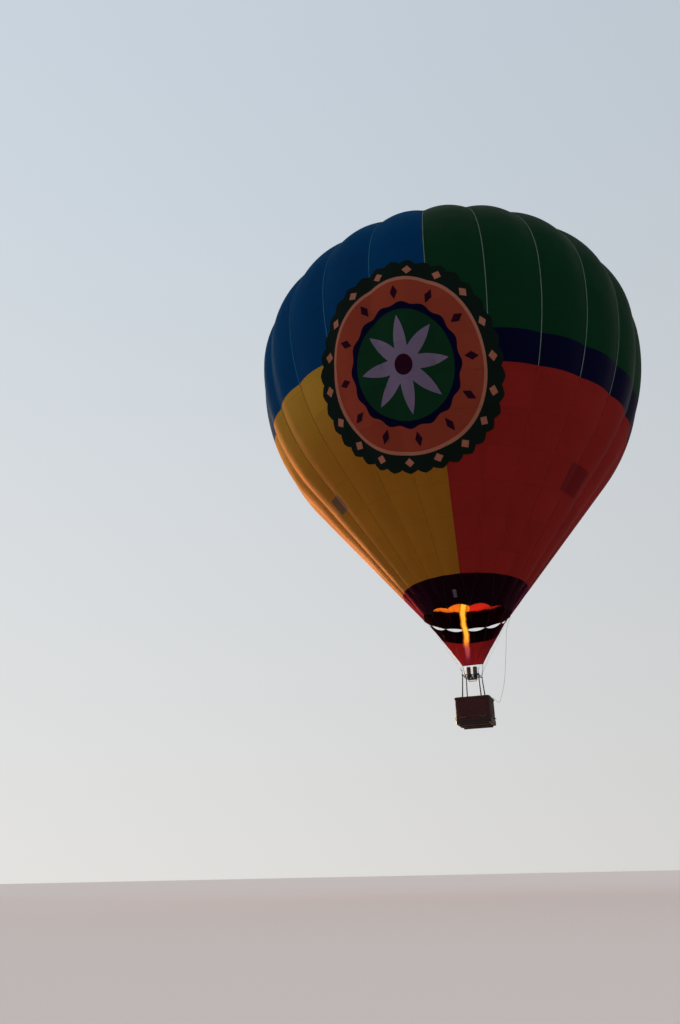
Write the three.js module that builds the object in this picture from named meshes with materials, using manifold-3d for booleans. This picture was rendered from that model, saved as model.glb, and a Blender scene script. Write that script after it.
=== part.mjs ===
// Hot air balloon, full size, in millimetres, +Z up.
// The origin is on the envelope's axis at its widest level, where the lift of the hot air acts.
// -Y is the side that the scoop opens to. The colours change in the upright plane
// that is turned from it by half a gore, towards +X at the front and -X at the back.

import * as THREE from 'three';
import { mergeVertices } from 'three/addons/utils/BufferGeometryUtils.js';
import Module from 'manifold-3d';

const wasm = await Module();
wasm.setup();

// Envelope
const equatorRadius = 9000;         // at the load tapes
const crownHeight = 6890;           // from the equator to the top
const lowerAxis = 9716;             // vertical half axis of the ellipse below the equator
const coneStart = -6376;            // below this level the skin is a straight cone
const gores = 24;
const gorePhase = 7.5;              // azimuth of the first load tape, degrees from -Y towards +X
const goreBulge = 0.019;            // of the local radius, half way between two tapes
const mouthBulge = 0.02;            // the same at the mouth, half way between two wires
const skin = 10;                    // thickness of a fabric shell
const seamGap = 0.4;                // between neighbouring panels
const openingRadius = 2400;         // hole in the top that the parachute closes
const leftColourEdge = -3240;       // blue over yellow
const rightColourEdge = -3330;      // green over navy
const navyBottom = -4550;           // navy over red
const bandTop = -11400;             // black mouth band
const mouthLevel = -12555;          // lowest points of the mouth's scalloped rim
const scallopRise = 110;
const wireCount = 12;               // one scallop between each pair of wires
const wireAngle = 360 / wireCount;
const wirePhase = 15;               // azimuth of the first wire

// Parachute valve and crown
const valveRadius = 2700;
const valveGap = 8;                 // below the envelope's inner skin
const crownRingRadius = 150;
const crownRingHalfWidth = 20;
const crownRingHalfHeight = 9;
const crownTapeWidth = 40;
const crownTapeThickness = 6;
const crownTapeLift = 9;            // above the tape line of the skin
const crownTapeOverlap = 60;        // past the edge of the opening

// Scoop, a half skirt on the +Y side of the mouth
const scoopTopLevel = -12600;
const scoopTopRadius = 1745;
const scoopSag = 75;                // of its top edge between two wires
const scoopFirstAzimuth = 92;       // degrees from -Y towards +X
const scoopSpan = 176;
const scoopBottomLevel = -14550;
const scoopBottomHalfWidth = 450;
const scoopBottomY = 360;
const scoopBillow = 70;
const scoopBlackShare = 0.37;
const scoopSeam = 0.0004;           // half the gap between its two panels, as a share of the span
const strapRadius = 7;
const strapInset = 12;              // from the scoop's lower corners

// Burner frame, gimbal and burner; the pivots lie in the frame's plane
const frameLevel = -15110;
const frameHalfX = 340;
const frameHalfY = 390;
const frameTube = 16;
const cornerBlock = 56;
const hookGap = 0.5;
const hookHeight = 110;
const hookThickness = 16;
const hookWidth = 46;
const wireRadius = 4;
const wireEnd = 8;                  // how far the wires run into the hook and under the mouth
const gimbalHalfX = 270;
const gimbalHalfY = 200;
const gimbalTube = 12;
const gimbalCorner = 30;
const bearingLength = 44;
const frameBearing = 52;
const gimbalBearing = 40;
const pinRadius = 8;
const pinEnd = 12;                  // past the middle of its bearing
const boreRadius = 10;
const blockDepth = 150;             // from the frame's plane down to the underside of the valve block
const blockWidth = 400;
const blockThickness = 130;
const yokeWidth = 22;
const yokeHeight = 100;
const canX = 137;
const canRadius = 95;
const canBottom = -40;              // from the frame's plane
const canTop = 390;
const canWall = 4;
const canNeck = 40;
const coilGap = 14;                 // between can and coil
const coilThickness = 14;
const coilTaper = 16;
const coilBottomGap = 40;           // above the can's foot
const coilTopGap = 30;              // below the can's mouth
const leverStem = [26, 60, 26];
const leverStemRise = 70;           // above the underside of the valve block
const leverHandle = [16, 110, 12];
const leverHandleRise = 64;
const leverY = -170;
const handBarHalf = 170;
const handBarRadius = 12;
const handBarDrop = 60;

// Basket
const basketHalfX = 730;
const basketHalfY = 610;
const wicker = 35;
const basketCorner = 130;           // outer corner radius
const rimLevel = -16100;            // middle of the padded rim
const rimPad = 42;
const floorTop = -17120;
const floorThickness = 20;
const groundLevel = -17220;         // underside of the runners
const hideHeight = 170;
const hideThickness = 8;
const pieceGap = 1;                 // between the basket's neighbouring pieces
const runnerLength = 1240;
const runnerWidth = 70;
const runnerPitch = 440;
const battenLength = 1000;
const battenX = 430;
const footX = 400;                  // where the uprights enter the basket
const footY = 520;
const footDrop = 130;               // below the middle of the rim
const uprightRadius = 28;
const uprightTaper = 6;
const uprightTilt = 8;              // room for the leaning end under its corner block
const tankRadius = 150;
const tankX = 520;
const tankY = 400;
const tankHeight = 780;
const tankFootWidth = 25;           // of the slope round the foot
const tankFootHeight = 30;
const tankShoulderWidth = 45;       // of the steep part of the shoulder
const tankShoulderHeight = 90;
const tankNeckRadius = 60;
const tankNeckHeight = 30;
const tankValveRadius = 48;
const tankValveHeight = 60;
const tankSpoutRadius = 11;
const tankSpoutReach = 85;

// Crown line, a loose rope from the mouth band to the basket's rim
const lineRadius = 6;
const lineRoute = [
  [1.799, 0.482, -12.585], [1.760, 0.468, -12.680], [1.668, 0.434, -12.890], [1.584, 0.402, -13.200],
  [1.534, 0.383, -13.600], [1.483, 0.364, -14.040], [1.425, 0.342, -14.475], [1.380, 0.325, -14.820],
  [1.299, 0.295, -15.330], [1.235, 0.271, -15.625], [1.160, 0.242, -15.875], [1.095, 0.217, -16.080],
  [1.046, 0.199, -16.205], [1.000, 0.181, -16.255], [0.945, 0.160, -16.245], [0.880, 0.136, -16.185],
  [0.8105, 0.110, -16.105],
];
const linePlateSize = [6, 30, 80];  // on the mouth band, above a wire
const linePlateGap = 9;             // off the line between the band's bulges
const linePlateRise = 65;           // above the mouth's lowest points
const lineAzimuth = wirePhase + 3 * wireAngle;
const shackleSize = [20, 36, 64];
const shackleGap = 3;               // above the line's end
const cleatY = 110;
const cleatBase = [34, 40, 24];
const cleatBaseRise = 4;            // above the middle of the rim
const cleatHorn = [16, 26, 40];
const cleatHornRise = 8;

const group = new THREE.Group();

function place(name, geometry, colour, roughness, metalness = 0) {
  const material = new THREE.MeshStandardMaterial({ color: colour, roughness, metalness });
  material.name = name;
  const mesh = new THREE.Mesh(geometry, material);
  mesh.name = name;
  group.add(mesh);
  return mesh;
}

// Boolean helpers

function toSolid(geometry) {
  const bare = geometry.clone();
  bare.deleteAttribute('normal');
  bare.deleteAttribute('uv');
  const merged = mergeVertices(bare, 1e-3);
  return new wasm.Manifold(new wasm.Mesh({
    numProp: 3,
    vertProperties: new Float32Array(merged.attributes.position.array),
    triVerts: new Uint32Array(merged.index.array),
  }));
}

function toGeometry(solid) {
  const mesh = solid.getMesh();
  const geometry = new THREE.BufferGeometry();
  geometry.setAttribute('position', new THREE.BufferAttribute(new Float32Array(mesh.vertProperties), 3));
  geometry.setIndex(new THREE.BufferAttribute(new Uint32Array(mesh.triVerts), 1));
  return geometry;
}

function join(geometries) {
  return toGeometry(geometries.map(toSolid).reduce((sum, solid) => sum.add(solid)));
}

function cut(geometry, tools) {
  return toGeometry(tools.map(toSolid).reduce((rest, tool) => rest.subtract(tool), toSolid(geometry)));
}

// Plain shapes at their place

function box(sizeX, sizeY, sizeZ, x, y, z) {
  return new THREE.BoxGeometry(sizeX, sizeY, sizeZ).translate(x, y, z);
}

function rod(start, end, radius, sides, endRadius = radius) {
  const from = new THREE.Vector3(...start);
  const along = new THREE.Vector3(...end).sub(from);
  const turn = new THREE.Quaternion().setFromUnitVectors(
    new THREE.Vector3(0, 1, 0), along.clone().normalize());
  const geometry = new THREE.CylinderGeometry(endRadius, radius, along.length(), sides);
  return geometry.applyQuaternion(turn).translate(
    from.x + along.x / 2, from.y + along.y / 2, from.z + along.z / 2);
}

function lathe(profile, sides) {
  const points = profile.map(([radius, height]) => new THREE.Vector2(radius, height));
  return new THREE.LatheGeometry(points, sides).rotateX(Math.PI / 2);
}

function roundedRectangle(halfX, halfY, corner, path = new THREE.Shape()) {
  path.moveTo(halfX - corner, -halfY);
  path.absarc(halfX - corner, -halfY + corner, corner, -Math.PI / 2, 0);
  path.absarc(halfX - corner, halfY - corner, corner, 0, Math.PI / 2);
  path.absarc(-halfX + corner, halfY - corner, corner, Math.PI / 2, Math.PI);
  path.absarc(-halfX + corner, -halfY + corner, corner, Math.PI, 1.5 * Math.PI);
  path.closePath();
  return path;
}

function extrudeUp(shape, bottom, height, curveSegments) {
  return new THREE.ExtrudeGeometry(shape, { depth: height, bevelEnabled: false, curveSegments })
    .translate(0, 0, bottom);
}

// A closed solid between two grids of points, with rows from the top down
// and columns that run counter-clockwise as seen from above.
function gridSolid(outer, inner, wrap) {
  const rows = outer.length;
  const columns = outer[0].length;
  const count = rows * columns;
  const positions = [...outer.flat(), ...inner.flat()].flatMap((point) => [point.x, point.y, point.z]);
  const faces = [];
  const at = (row, column, side) => side * count + row * columns + (column % columns);
  const quad = (a, b, c, d) => faces.push(a, b, c, a, c, d);
  const lastColumn = wrap ? columns : columns - 1;
  for (let row = 0; row < rows - 1; row++) {
    for (let column = 0; column < lastColumn; column++) {
      quad(at(row, column, 0), at(row + 1, column, 0), at(row + 1, column + 1, 0), at(row, column + 1, 0));
      quad(at(row, column, 1), at(row, column + 1, 1), at(row + 1, column + 1, 1), at(row + 1, column, 1));
    }
    if (!wrap) {
      quad(at(row, 0, 0), at(row, 0, 1), at(row + 1, 0, 1), at(row + 1, 0, 0));
      const end = columns - 1;
      quad(at(row, end, 0), at(row + 1, end, 0), at(row + 1, end, 1), at(row, end, 1));
    }
  }
  for (let column = 0; column < lastColumn; column++) {
    quad(at(0, column, 0), at(0, column + 1, 0), at(0, column + 1, 1), at(0, column, 1));
    const last = rows - 1;
    quad(at(last, column, 0), at(last, column, 1), at(last, column + 1, 1), at(last, column + 1, 0));
  }
  const geometry = new THREE.BufferGeometry();
  geometry.setAttribute('position', new THREE.Float32BufferAttribute(positions, 3));
  geometry.setIndex(faces);
  return geometry;
}

// Envelope skin

function tapeRadius(level) {
  if (level >= 0) return equatorRadius * Math.sqrt(1 - (level / crownHeight) ** 2);
  const ellipse = (height) => equatorRadius * Math.sqrt(1 - (height / lowerAxis) ** 2);
  if (level >= coneStart) return ellipse(level);
  return ellipse(coneStart) + profileSlope(coneStart) * (level - coneStart);
}

function profileSlope(level) {
  const height = Math.max(level, coneStart);
  const axis = height >= 0 ? crownHeight : lowerAxis;
  const ratio = height / axis;
  return (-equatorRadius * ratio) / (axis * Math.sqrt(1 - ratio * ratio));
}

// How far an azimuth is on its way from one tape or wire to the next.
function shareBetween(azimuth, first, pitch) {
  return THREE.MathUtils.euclideanModulo(azimuth - first, pitch) / pitch;
}

// A point of the skin: azimuth in degrees from -Y towards +X, depth inwards along the normal.
// The bulges between the tapes change over the mouth band to bulges between the wires.
function skinPoint(level, azimuth, depth) {
  const atTapes = shareBetween(azimuth, gorePhase, 360 / gores);
  const atWires = shareBetween(azimuth, wirePhase, wireAngle);
  const blend = THREE.MathUtils.clamp((bandTop - level) / (bandTop - mouthLevel), 0, 1);
  const bulge = 4 * THREE.MathUtils.lerp(
    goreBulge * atTapes * (1 - atTapes), mouthBulge * atWires * (1 - atWires), blend);
  const radius = tapeRadius(level);
  const slope = profileSlope(level);
  const steep = Math.hypot(1, slope);
  const out = bulge * radius - depth;
  const reach = radius + out / steep;
  const height = level - (out * slope) / steep;
  const angle = THREE.MathUtils.degToRad(azimuth);
  return new THREE.Vector3(reach * Math.sin(angle), -reach * Math.cos(angle), height);
}

// Levels from top to bottom, spaced by equal angles on the two ellipses and cut at the given edges.
function levelsBetween(top, bottom) {
  const step = 10;
  const levels = [];
  for (let angle = 90 - step; angle > 0; angle -= step) {
    levels.push(crownHeight * Math.sin(THREE.MathUtils.degToRad(angle)));
  }
  levels.push(0);
  for (let angle = step; lowerAxis * Math.sin(THREE.MathUtils.degToRad(angle)) < -coneStart; angle += step) {
    levels.push(-lowerAxis * Math.sin(THREE.MathUtils.degToRad(angle)));
  }
  levels.push(coneStart);
  const margin = 150;
  const inside = levels.filter((level) => level < top - margin && level > bottom + margin);
  return [top - seamGap / 2, ...inside, bottom + seamGap / 2];
}

// One colour's panels on one side of the colour edge: side is +1 on the +X side and -1 on the -X side.
function halfPanel(side, top, bottom) {
  const halfGore = 180 / gores;
  const firstAzimuth = gorePhase + (side > 0 ? 0 : 180);
  const azimuths = Array.from({ length: gores + 1 }, (_, index) => firstAzimuth + index * halfGore);
  const phase = THREE.MathUtils.degToRad(gorePhase);
  const offEdge = new THREE.Vector3(Math.cos(phase), Math.sin(phase), 0).multiplyScalar(side * seamGap / 2);
  const grid = (depth) => levelsBetween(top, bottom).map((level) => azimuths.map((azimuth, column) => {
    const point = skinPoint(level, azimuth, depth);
    return column % gores === 0 ? point.add(offEdge) : point;
  }));
  return gridSolid(grid(0), grid(skin), false);
}

const openingLevel = crownHeight * Math.sqrt(1 - (openingRadius / equatorRadius) ** 2);
const panels = [
  // name, side, top level, bottom level, colour
  ['blue_upper_panels', -1, openingLevel, leftColourEdge, 0x16357a],
  ['green_upper_panels', 1, openingLevel, rightColourEdge, 0x2c6a35],
  ['navy_band', 1, rightColourEdge, navyBottom, 0x1b1f3a],
  ['yellow_lower_panels', -1, leftColourEdge, bandTop, 0xd9930f],
  ['red_lower_panels', 1, navyBottom, bandTop, 0xb3221c],
];
for (const [name, side, top, bottom, colour] of panels) {
  place(name, halfPanel(side, top, bottom), colour, 0.6);
}

// Mouth band, all the way round, with a scallop between each pair of wires.
function mouthBand() {
  const halfGore = 180 / gores;
  const azimuths = Array.from({ length: 2 * gores }, (_, index) => index * halfGore);
  const scallop = (azimuth) => scallopRise * Math.sin(Math.PI * shareBetween(azimuth, wirePhase, wireAngle));
  const grid = (depth) => [bandTop - seamGap / 2, mouthLevel].map((level) => azimuths.map((azimuth) => (
    skinPoint(level === mouthLevel ? level + scallop(azimuth) : level, azimuth, depth))));
  return gridSolid(grid(0), grid(skin), true);
}
place('mouth_band', mouthBand(), 0x17141a, 0.7);

// Parachute valve: a shallow cap under the edge of the top opening.
function valveCap() {
  const rings = [0, 450, 900, 1350, 1800, 2250, valveRadius];
  const heightAt = (radius) => crownHeight * Math.sqrt(1 - (radius / equatorRadius) ** 2);
  const topSide = rings.map((radius) => [radius, heightAt(radius) - skin - valveGap]);
  const underSide = rings.map((radius) => [radius, heightAt(radius) - 2 * skin - valveGap]).reverse();
  return lathe([...topSide, ...underSide].reverse(), 2 * gores);
}
place('parachute_valve', valveCap(), 0x16357a, 0.6);

// Crown ring with one flat tape over the opening for each gore seam.
function crownRing() {
  const ringLevel = crownHeight + crownTapeLift + crownTapeThickness / 2;
  const reach = [crownRingRadius, 800, 1500, 2150, openingRadius + crownTapeOverlap];
  const tape = (azimuth) => {
    const grid = (lift) => reach.slice().reverse().map((radius) => [-1, 1].map((side) => {
      const height = crownHeight * Math.sqrt(1 - (radius / equatorRadius) ** 2);
      const point = new THREE.Vector3(side * crownTapeWidth / 2, -radius, height + crownTapeLift + lift);
      return point.applyAxisAngle(new THREE.Vector3(0, 0, 1), THREE.MathUtils.degToRad(azimuth));
    }));
    const underSide = grid(0);
    const topSide = grid(crownTapeThickness);
    return gridSolid(underSide, topSide, false);
  };
  const tapes = Array.from({ length: gores }, (_, index) => tape(gorePhase + index * 360 / gores));
  const innerRadius = crownRingRadius - crownRingHalfWidth;
  const outerRadius = crownRingRadius + crownRingHalfWidth;
  const ring = lathe([
    [innerRadius, -crownRingHalfHeight], [outerRadius, -crownRingHalfHeight],
    [outerRadius, crownRingHalfHeight], [innerRadius, crownRingHalfHeight],
    [innerRadius, -crownRingHalfHeight],
  ], gores).translate(0, 0, ringLevel);
  return join([ring, ...tapes]);
}
place('crown_ring', crownRing(), 0x8f9094, 0.4, 0.8);

// Scoop: rulings from the mouth's back half down to a straight lower edge.
function scoopPart(fromShare, toShare) {
  const columns = 25;
  const rowCount = 4;
  const pointAt = (share, down, depth) => {
    const turn = scoopFirstAzimuth + scoopSpan * share;
    const azimuth = THREE.MathUtils.degToRad(turn);
    const sag = scoopSag * Math.sin(Math.PI * shareBetween(turn, wirePhase, wireAngle));
    const top = new THREE.Vector3(
      scoopTopRadius * Math.sin(azimuth), -scoopTopRadius * Math.cos(azimuth), scoopTopLevel);
    const bottom = new THREE.Vector3(
      scoopBottomHalfWidth * (1 - 2 * share), scoopBottomY, scoopBottomLevel);
    const point = top.lerp(bottom, down);
    point.z -= sag * (1 - down) ** 4;
    const billow = scoopBillow * Math.sin(Math.PI * down) * Math.sin(Math.PI * share) - depth;
    point.x += billow * Math.sin(azimuth);
    point.y -= billow * Math.cos(azimuth);
    return point;
  };
  const grid = (depth) => Array.from({ length: rowCount }, (_, row) => {
    const down = fromShare + (toShare - fromShare) * row / (rowCount - 1);
    return Array.from({ length: columns }, (__, column) => pointAt(column / (columns - 1), down, depth));
  });
  return gridSolid(grid(0), grid(skin), false);
}
place('scoop_black_strip', scoopPart(0, scoopBlackShare - scoopSeam), 0x17141a, 0.7);
place('scoop_red_panel', scoopPart(scoopBlackShare + scoopSeam, 1), 0x8e1b1b, 0.7);

// Flying wires: three from the mouth to a snap hook on each corner of the burner frame.
const corners = [
  // name, side in x, side in y, azimuth of the first of its wires
  ['front_right', 1, -1, wirePhase],
  ['back_right', 1, 1, wirePhase + 90],
  ['back_left', -1, 1, wirePhase + 180],
  ['front_left', -1, -1, wirePhase + 270],
];
const hookBottom = frameLevel + cornerBlock / 2 + hookGap;
for (const [name, sideX, sideY, firstAzimuth] of corners) {
  const [x, y] = [sideX * frameHalfX, sideY * frameHalfY];
  const hookTop = [x, y, hookBottom + hookHeight - wireEnd];
  const wires = [0, 1, 2].map((index) => {
    const azimuth = THREE.MathUtils.degToRad(firstAzimuth + index * wireAngle);
    const radius = tapeRadius(mouthLevel) - skin / 2;
    const mouthEnd = [radius * Math.sin(azimuth), -radius * Math.cos(azimuth), mouthLevel - wireEnd];
    return rod(hookTop, mouthEnd, wireRadius, 6);
  });
  const hook = box(hookThickness, hookWidth, hookHeight, x, y, hookBottom + hookHeight / 2);
  place(`flying_wires_${name}`, join([hook, ...wires]), 0x77787c, 0.35, 0.9);
}

// Straps from the scoop's lower corners to the hooks.
for (const [name, side] of [['right', 1], ['left', -1]]) {
  const strapTop = scoopBottomLevel - strapRadius + 1;
  const strap = rod(
    [side * (scoopBottomHalfWidth - strapInset), scoopBottomY - 2 * strapRadius, strapTop],
    [side * (frameHalfX + 2 * hookThickness), frameHalfY - hookWidth / 2, hookBottom + hookHeight / 3],
    strapRadius, 6);
  place(`scoop_strap_${name}`, strap, 0x17141a, 0.8);
}

// Four round tubes along the sides of a flat rectangle in the frame's plane.
function rectangleTubes(halfX, halfY, radius) {
  return [-1, 1].flatMap((side) => [
    rod([-halfX, side * halfY, frameLevel], [halfX, side * halfY, frameLevel], radius, 12),
    rod([side * halfX, -halfY, frameLevel], [side * halfX, halfY, frameLevel], radius, 12),
  ]);
}

// Burner frame with corner blocks and two bearings for the gimbal's pins.
function burnerFrame() {
  const pieces = [
    ...rectangleTubes(frameHalfX, frameHalfY, frameTube),
    ...[-1, 1].map((side) => (
      box(bearingLength, frameBearing, frameBearing, side * (frameHalfX - pinEnd), 0, frameLevel))),
  ];
  const blocks = corners.map(([, sideX, sideY]) => (
    box(cornerBlock, cornerBlock, cornerBlock, sideX * frameHalfX, sideY * frameHalfY, frameLevel)));
  const bores = [-1, 1].map((side) => rod(
    [side * (frameHalfX - bearingLength), 0, frameLevel],
    [side * (frameHalfX + bearingLength), 0, frameLevel], boreRadius, 16));
  return cut(join([...pieces, ...blocks]), bores);
}
place('burner_frame', burnerFrame(), 0xa8a9ad, 0.35, 0.9);

// Gimbal ring: its pins turn in the frame, and its own bearings hold the burner's pins.
function gimbalRing() {
  const pinsAndBearings = [-1, 1].flatMap((side) => [
    rod([side * gimbalHalfX, 0, frameLevel], [side * (frameHalfX + pinEnd), 0, frameLevel], pinRadius, 16),
    box(bearingLength, gimbalBearing, bearingLength, 0, side * gimbalHalfY, frameLevel),
  ]);
  const joints = corners.map(([, sideX, sideY]) => (
    box(gimbalCorner, gimbalCorner, gimbalCorner, sideX * gimbalHalfX, sideY * gimbalHalfY, frameLevel)));
  const bores = [-1, 1].map((side) => rod(
    [0, side * (gimbalHalfY - gimbalBearing), frameLevel],
    [0, side * (gimbalHalfY + gimbalBearing), frameLevel], boreRadius, 16));
  const sides = rectangleTubes(gimbalHalfX, gimbalHalfY, gimbalTube);
  return cut(join([...sides, ...pinsAndBearings, ...joints]), bores);
}
place('gimbal_ring', gimbalRing(), 0x9b9ca1, 0.35, 0.9);

// Burner: a valve block with pins, two cans with their coils, levers and a hand bar.
const blockBottom = frameLevel - blockDepth;
const blockTop = frameLevel + canBottom - canWall - 1;
function burnerBlock() {
  const pinReach = gimbalHalfY + pinEnd;
  return join([
    box(blockWidth, blockThickness, blockTop - blockBottom, 0, 0, (blockTop + blockBottom) / 2),
    box(yokeWidth, 1.5 * gimbalHalfY, yokeHeight, 0, 0, frameLevel - 0.36 * yokeHeight),
    rod([0, -pinReach, frameLevel], [0, pinReach, frameLevel], pinRadius, 16),
  ]);
}
place('burner_block', burnerBlock(), 0xb4b5b8, 0.3, 0.9);

function can() {
  const inside = canRadius - canWall;
  return lathe([
    [canNeck, canBottom], [canRadius, canBottom], [canRadius, canTop], [inside, canTop],
    [inside, canBottom + canWall], [canNeck, canBottom + canWall], [canNeck, canBottom],
  ], 24);
}
function coil() {
  const outer = canRadius - coilGap;
  const bottom = canBottom + coilBottomGap;
  const top = canTop - coilTopGap;
  return lathe([
    [outer - coilThickness, bottom], [outer, bottom], [outer - coilTaper, top],
    [outer - coilTaper - coilThickness, top], [outer - coilThickness, bottom],
  ], 24);
}
for (const [name, side] of [['left', -1], ['right', 1]]) {
  place(`burner_can_${name}`, can().translate(side * canX, 0, frameLevel), 0xc0c1c4, 0.25, 0.95);
  place(`burner_coil_${name}`, coil().translate(side * canX, 0, frameLevel), 0x8a7f78, 0.4, 0.9);
  const stemY = -(blockThickness + leverStem[1]) / 2 - pieceGap;
  const stem = box(...leverStem, side * canX, stemY, blockBottom + leverStemRise);
  const handle = box(...leverHandle, side * canX, leverY, blockBottom + leverHandleRise);
  place(`blast_lever_${name}`, join([stem, handle]), 0xb02a22, 0.5);
}
const handBarLevel = blockBottom - handBarDrop;
place('hand_bar', join([
  rod([-handBarHalf, 0, handBarLevel], [handBarHalf, 0, handBarLevel], handBarRadius, 12),
  ...[-1, 1].map((side) => {
    const x = side * (handBarHalf - handBarRadius);
    return rod([x, 0, handBarLevel], [x, 0, blockBottom - pieceGap], handBarRadius, 12);
  }),
]), 0x2a2a2c, 0.6);

// Basket
const wallBottom = floorTop - floorThickness;
const wallTop = rimLevel - rimPad * 0.4;

// The basket's outline as a ring between two offsets from the outer face of its walls.
function ringOutline(outer, inner) {
  const outline = roundedRectangle(basketHalfX + outer, basketHalfY + outer, basketCorner + outer);
  outline.holes.push(roundedRectangle(
    basketHalfX + inner, basketHalfY + inner, basketCorner + inner, new THREE.Path()));
  return outline;
}
const wallRing = extrudeUp(ringOutline(0, -wicker), wallBottom, wallTop - wallBottom, 5);
place('basket_walls', wallRing, 0x5b3a1f, 0.85);

// Padded rim: a tube round the top of the walls, with a slot that the wall stands in.
function basketRim() {
  const tube = extrudeUp(
    ringOutline(rimPad - wicker / 2, -rimPad - wicker / 2), rimLevel - rimPad, 2 * rimPad, 5);
  const slot = ringOutline(pieceGap, -wicker - pieceGap);
  const slotBottom = rimLevel - 2 * rimPad;
  return cut(tube, [extrudeUp(slot, slotBottom, wallTop + pieceGap - slotBottom, 5)]);
}
place('basket_rim', basketRim(), 0x3a2418, 0.6);

function basketFloor() {
  const inset = wicker + pieceGap;
  const outline = roundedRectangle(basketHalfX - inset, basketHalfY - inset, basketCorner - inset);
  return extrudeUp(outline, wallBottom, floorThickness, 5);
}
place('basket_floor', basketFloor(), 0x8a6a42, 0.7);

const hideOutline = ringOutline(pieceGap + hideThickness, pieceGap);
place('basket_hide', extrudeUp(hideOutline, wallBottom, hideHeight, 5), 0x2c1b12, 0.55);

function basketRunners() {
  const top = wallBottom - pieceGap / 2;
  const height = top - groundLevel;
  const runners = [-1, 0, 1].map((side) => (
    box(runnerLength, runnerWidth, height, 0, side * runnerPitch, groundLevel + height / 2)));
  const battens = [-1, 1].map((side) => (
    box(runnerWidth, battenLength, height / 2, side * battenX, 0, top - height / 4)));
  return join([...runners, ...battens]);
}
place('basket_runners', basketRunners(), 0x9a7648, 0.75);

for (const [name, sideX, sideY] of corners) {
  const top = [sideX * frameHalfX, sideY * frameHalfY, frameLevel - cornerBlock / 2 - uprightTilt];
  const foot = [sideX * footX, sideY * footY, rimLevel - footDrop];
  place(`upright_${name}`, rod(foot, top, uprightRadius, 12, uprightRadius - uprightTaper), 0x2a1d16, 0.6);
}

for (const [name, sideX, sideY] of corners) {
  const base = floorTop + pieceGap;
  const shell = lathe([
    [0, 0], [tankRadius - tankFootWidth, 0], [tankRadius, tankFootHeight],
    [tankRadius, tankHeight - tankShoulderHeight],
    [tankRadius - tankShoulderWidth, tankHeight - tankNeckHeight],
    [tankNeckRadius, tankHeight], [0, tankHeight],
  ], 20).translate(sideX * tankX, sideY * tankY, base);
  place(`fuel_tank_${name}`, shell, 0x3b3f46, 0.8);
  const spoutLevel = tankValveHeight / 2;
  const collar = join([
    rod([0, 0, 0], [0, 0, tankValveHeight], tankValveRadius, 12),
    rod([0, 0, spoutLevel], [-sideX * tankSpoutReach, 0, spoutLevel], tankSpoutRadius, 8),
  ]).translate(sideX * tankX, sideY * tankY, base + tankHeight + pieceGap);
  place(`tank_valve_${name}`, collar, 0xb08d4c, 0.35, 0.9);
}

// Crown line with the ring that holds it on the mouth band and its cleat on the basket's rim.
function tubeAlong(route, radius, sides, steps) {
  const curve = new THREE.CatmullRomCurve3(route.map(([x, y, z]) => (
    new THREE.Vector3(x * 1000, y * 1000, z * 1000))), false, 'centripetal');
  const section = new THREE.Shape();
  Array.from({ length: sides }, (_, index) => index * 2 * Math.PI / sides).forEach((angle, index) => {
    section[index ? 'lineTo' : 'moveTo'](radius * Math.cos(angle), radius * Math.sin(angle));
  });
  section.closePath();
  return new THREE.ExtrudeGeometry(section, { steps, extrudePath: curve, bevelEnabled: false });
}
place('crown_line', tubeAlong(lineRoute, lineRadius, 8, 76), 0x6b5a48, 0.85);

const [lineTopX, lineTopY, lineTopLevel] = lineRoute[0].map((value) => value * 1000);
function lineRing() {
  const level = mouthLevel + linePlateRise;
  const plate = new THREE.BoxGeometry(...linePlateSize)
    .translate(linePlateGap + linePlateSize[0] / 2, 0, 0)
    .rotateY(Math.atan(profileSlope(level)))
    .translate(tapeRadius(level), 0, level);
  const shackleLevel = lineTopLevel + shackleGap + shackleSize[2] / 2;
  const shackle = box(...shackleSize, Math.hypot(lineTopX, lineTopY), 0, shackleLevel);
  return join([plate, shackle]).rotateZ(THREE.MathUtils.degToRad(lineAzimuth - 90));
}
place('line_ring', lineRing(), 0x77787c, 0.4, 0.9);

const rimFace = basketHalfX - wicker / 2 + rimPad;
const cleatBaseX = rimFace + pieceGap + cleatBase[0] / 2;
const cleatHornX = cleatBaseX + (cleatBase[0] + cleatHorn[0]) / 2 - pieceGap;
place('line_cleat', join([
  box(...cleatBase, cleatBaseX, cleatY, rimLevel + cleatBaseRise),
  box(...cleatHorn, cleatHornX, cleatY, rimLevel + cleatHornRise),
]), 0x77787c, 0.4, 0.9);

export default group;
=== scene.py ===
# Hot air balloon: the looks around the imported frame, in metres, +Z up, the scoop open towards -Y.
import math

import bmesh
import bpy
import numpy as np
from mathutils import Matrix, Vector


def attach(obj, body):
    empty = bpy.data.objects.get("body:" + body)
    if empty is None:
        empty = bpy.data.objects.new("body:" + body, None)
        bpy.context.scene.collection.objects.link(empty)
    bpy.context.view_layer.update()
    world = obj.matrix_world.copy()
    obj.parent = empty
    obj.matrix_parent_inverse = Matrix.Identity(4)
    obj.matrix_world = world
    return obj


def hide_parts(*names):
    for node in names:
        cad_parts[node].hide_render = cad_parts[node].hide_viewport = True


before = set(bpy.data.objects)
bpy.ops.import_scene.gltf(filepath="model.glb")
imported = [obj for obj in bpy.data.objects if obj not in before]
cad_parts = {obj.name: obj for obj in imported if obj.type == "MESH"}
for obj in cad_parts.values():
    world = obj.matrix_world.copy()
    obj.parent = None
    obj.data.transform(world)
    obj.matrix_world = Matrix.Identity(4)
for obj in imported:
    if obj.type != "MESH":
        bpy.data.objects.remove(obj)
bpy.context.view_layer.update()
chance = np.random.default_rng(11)

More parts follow.
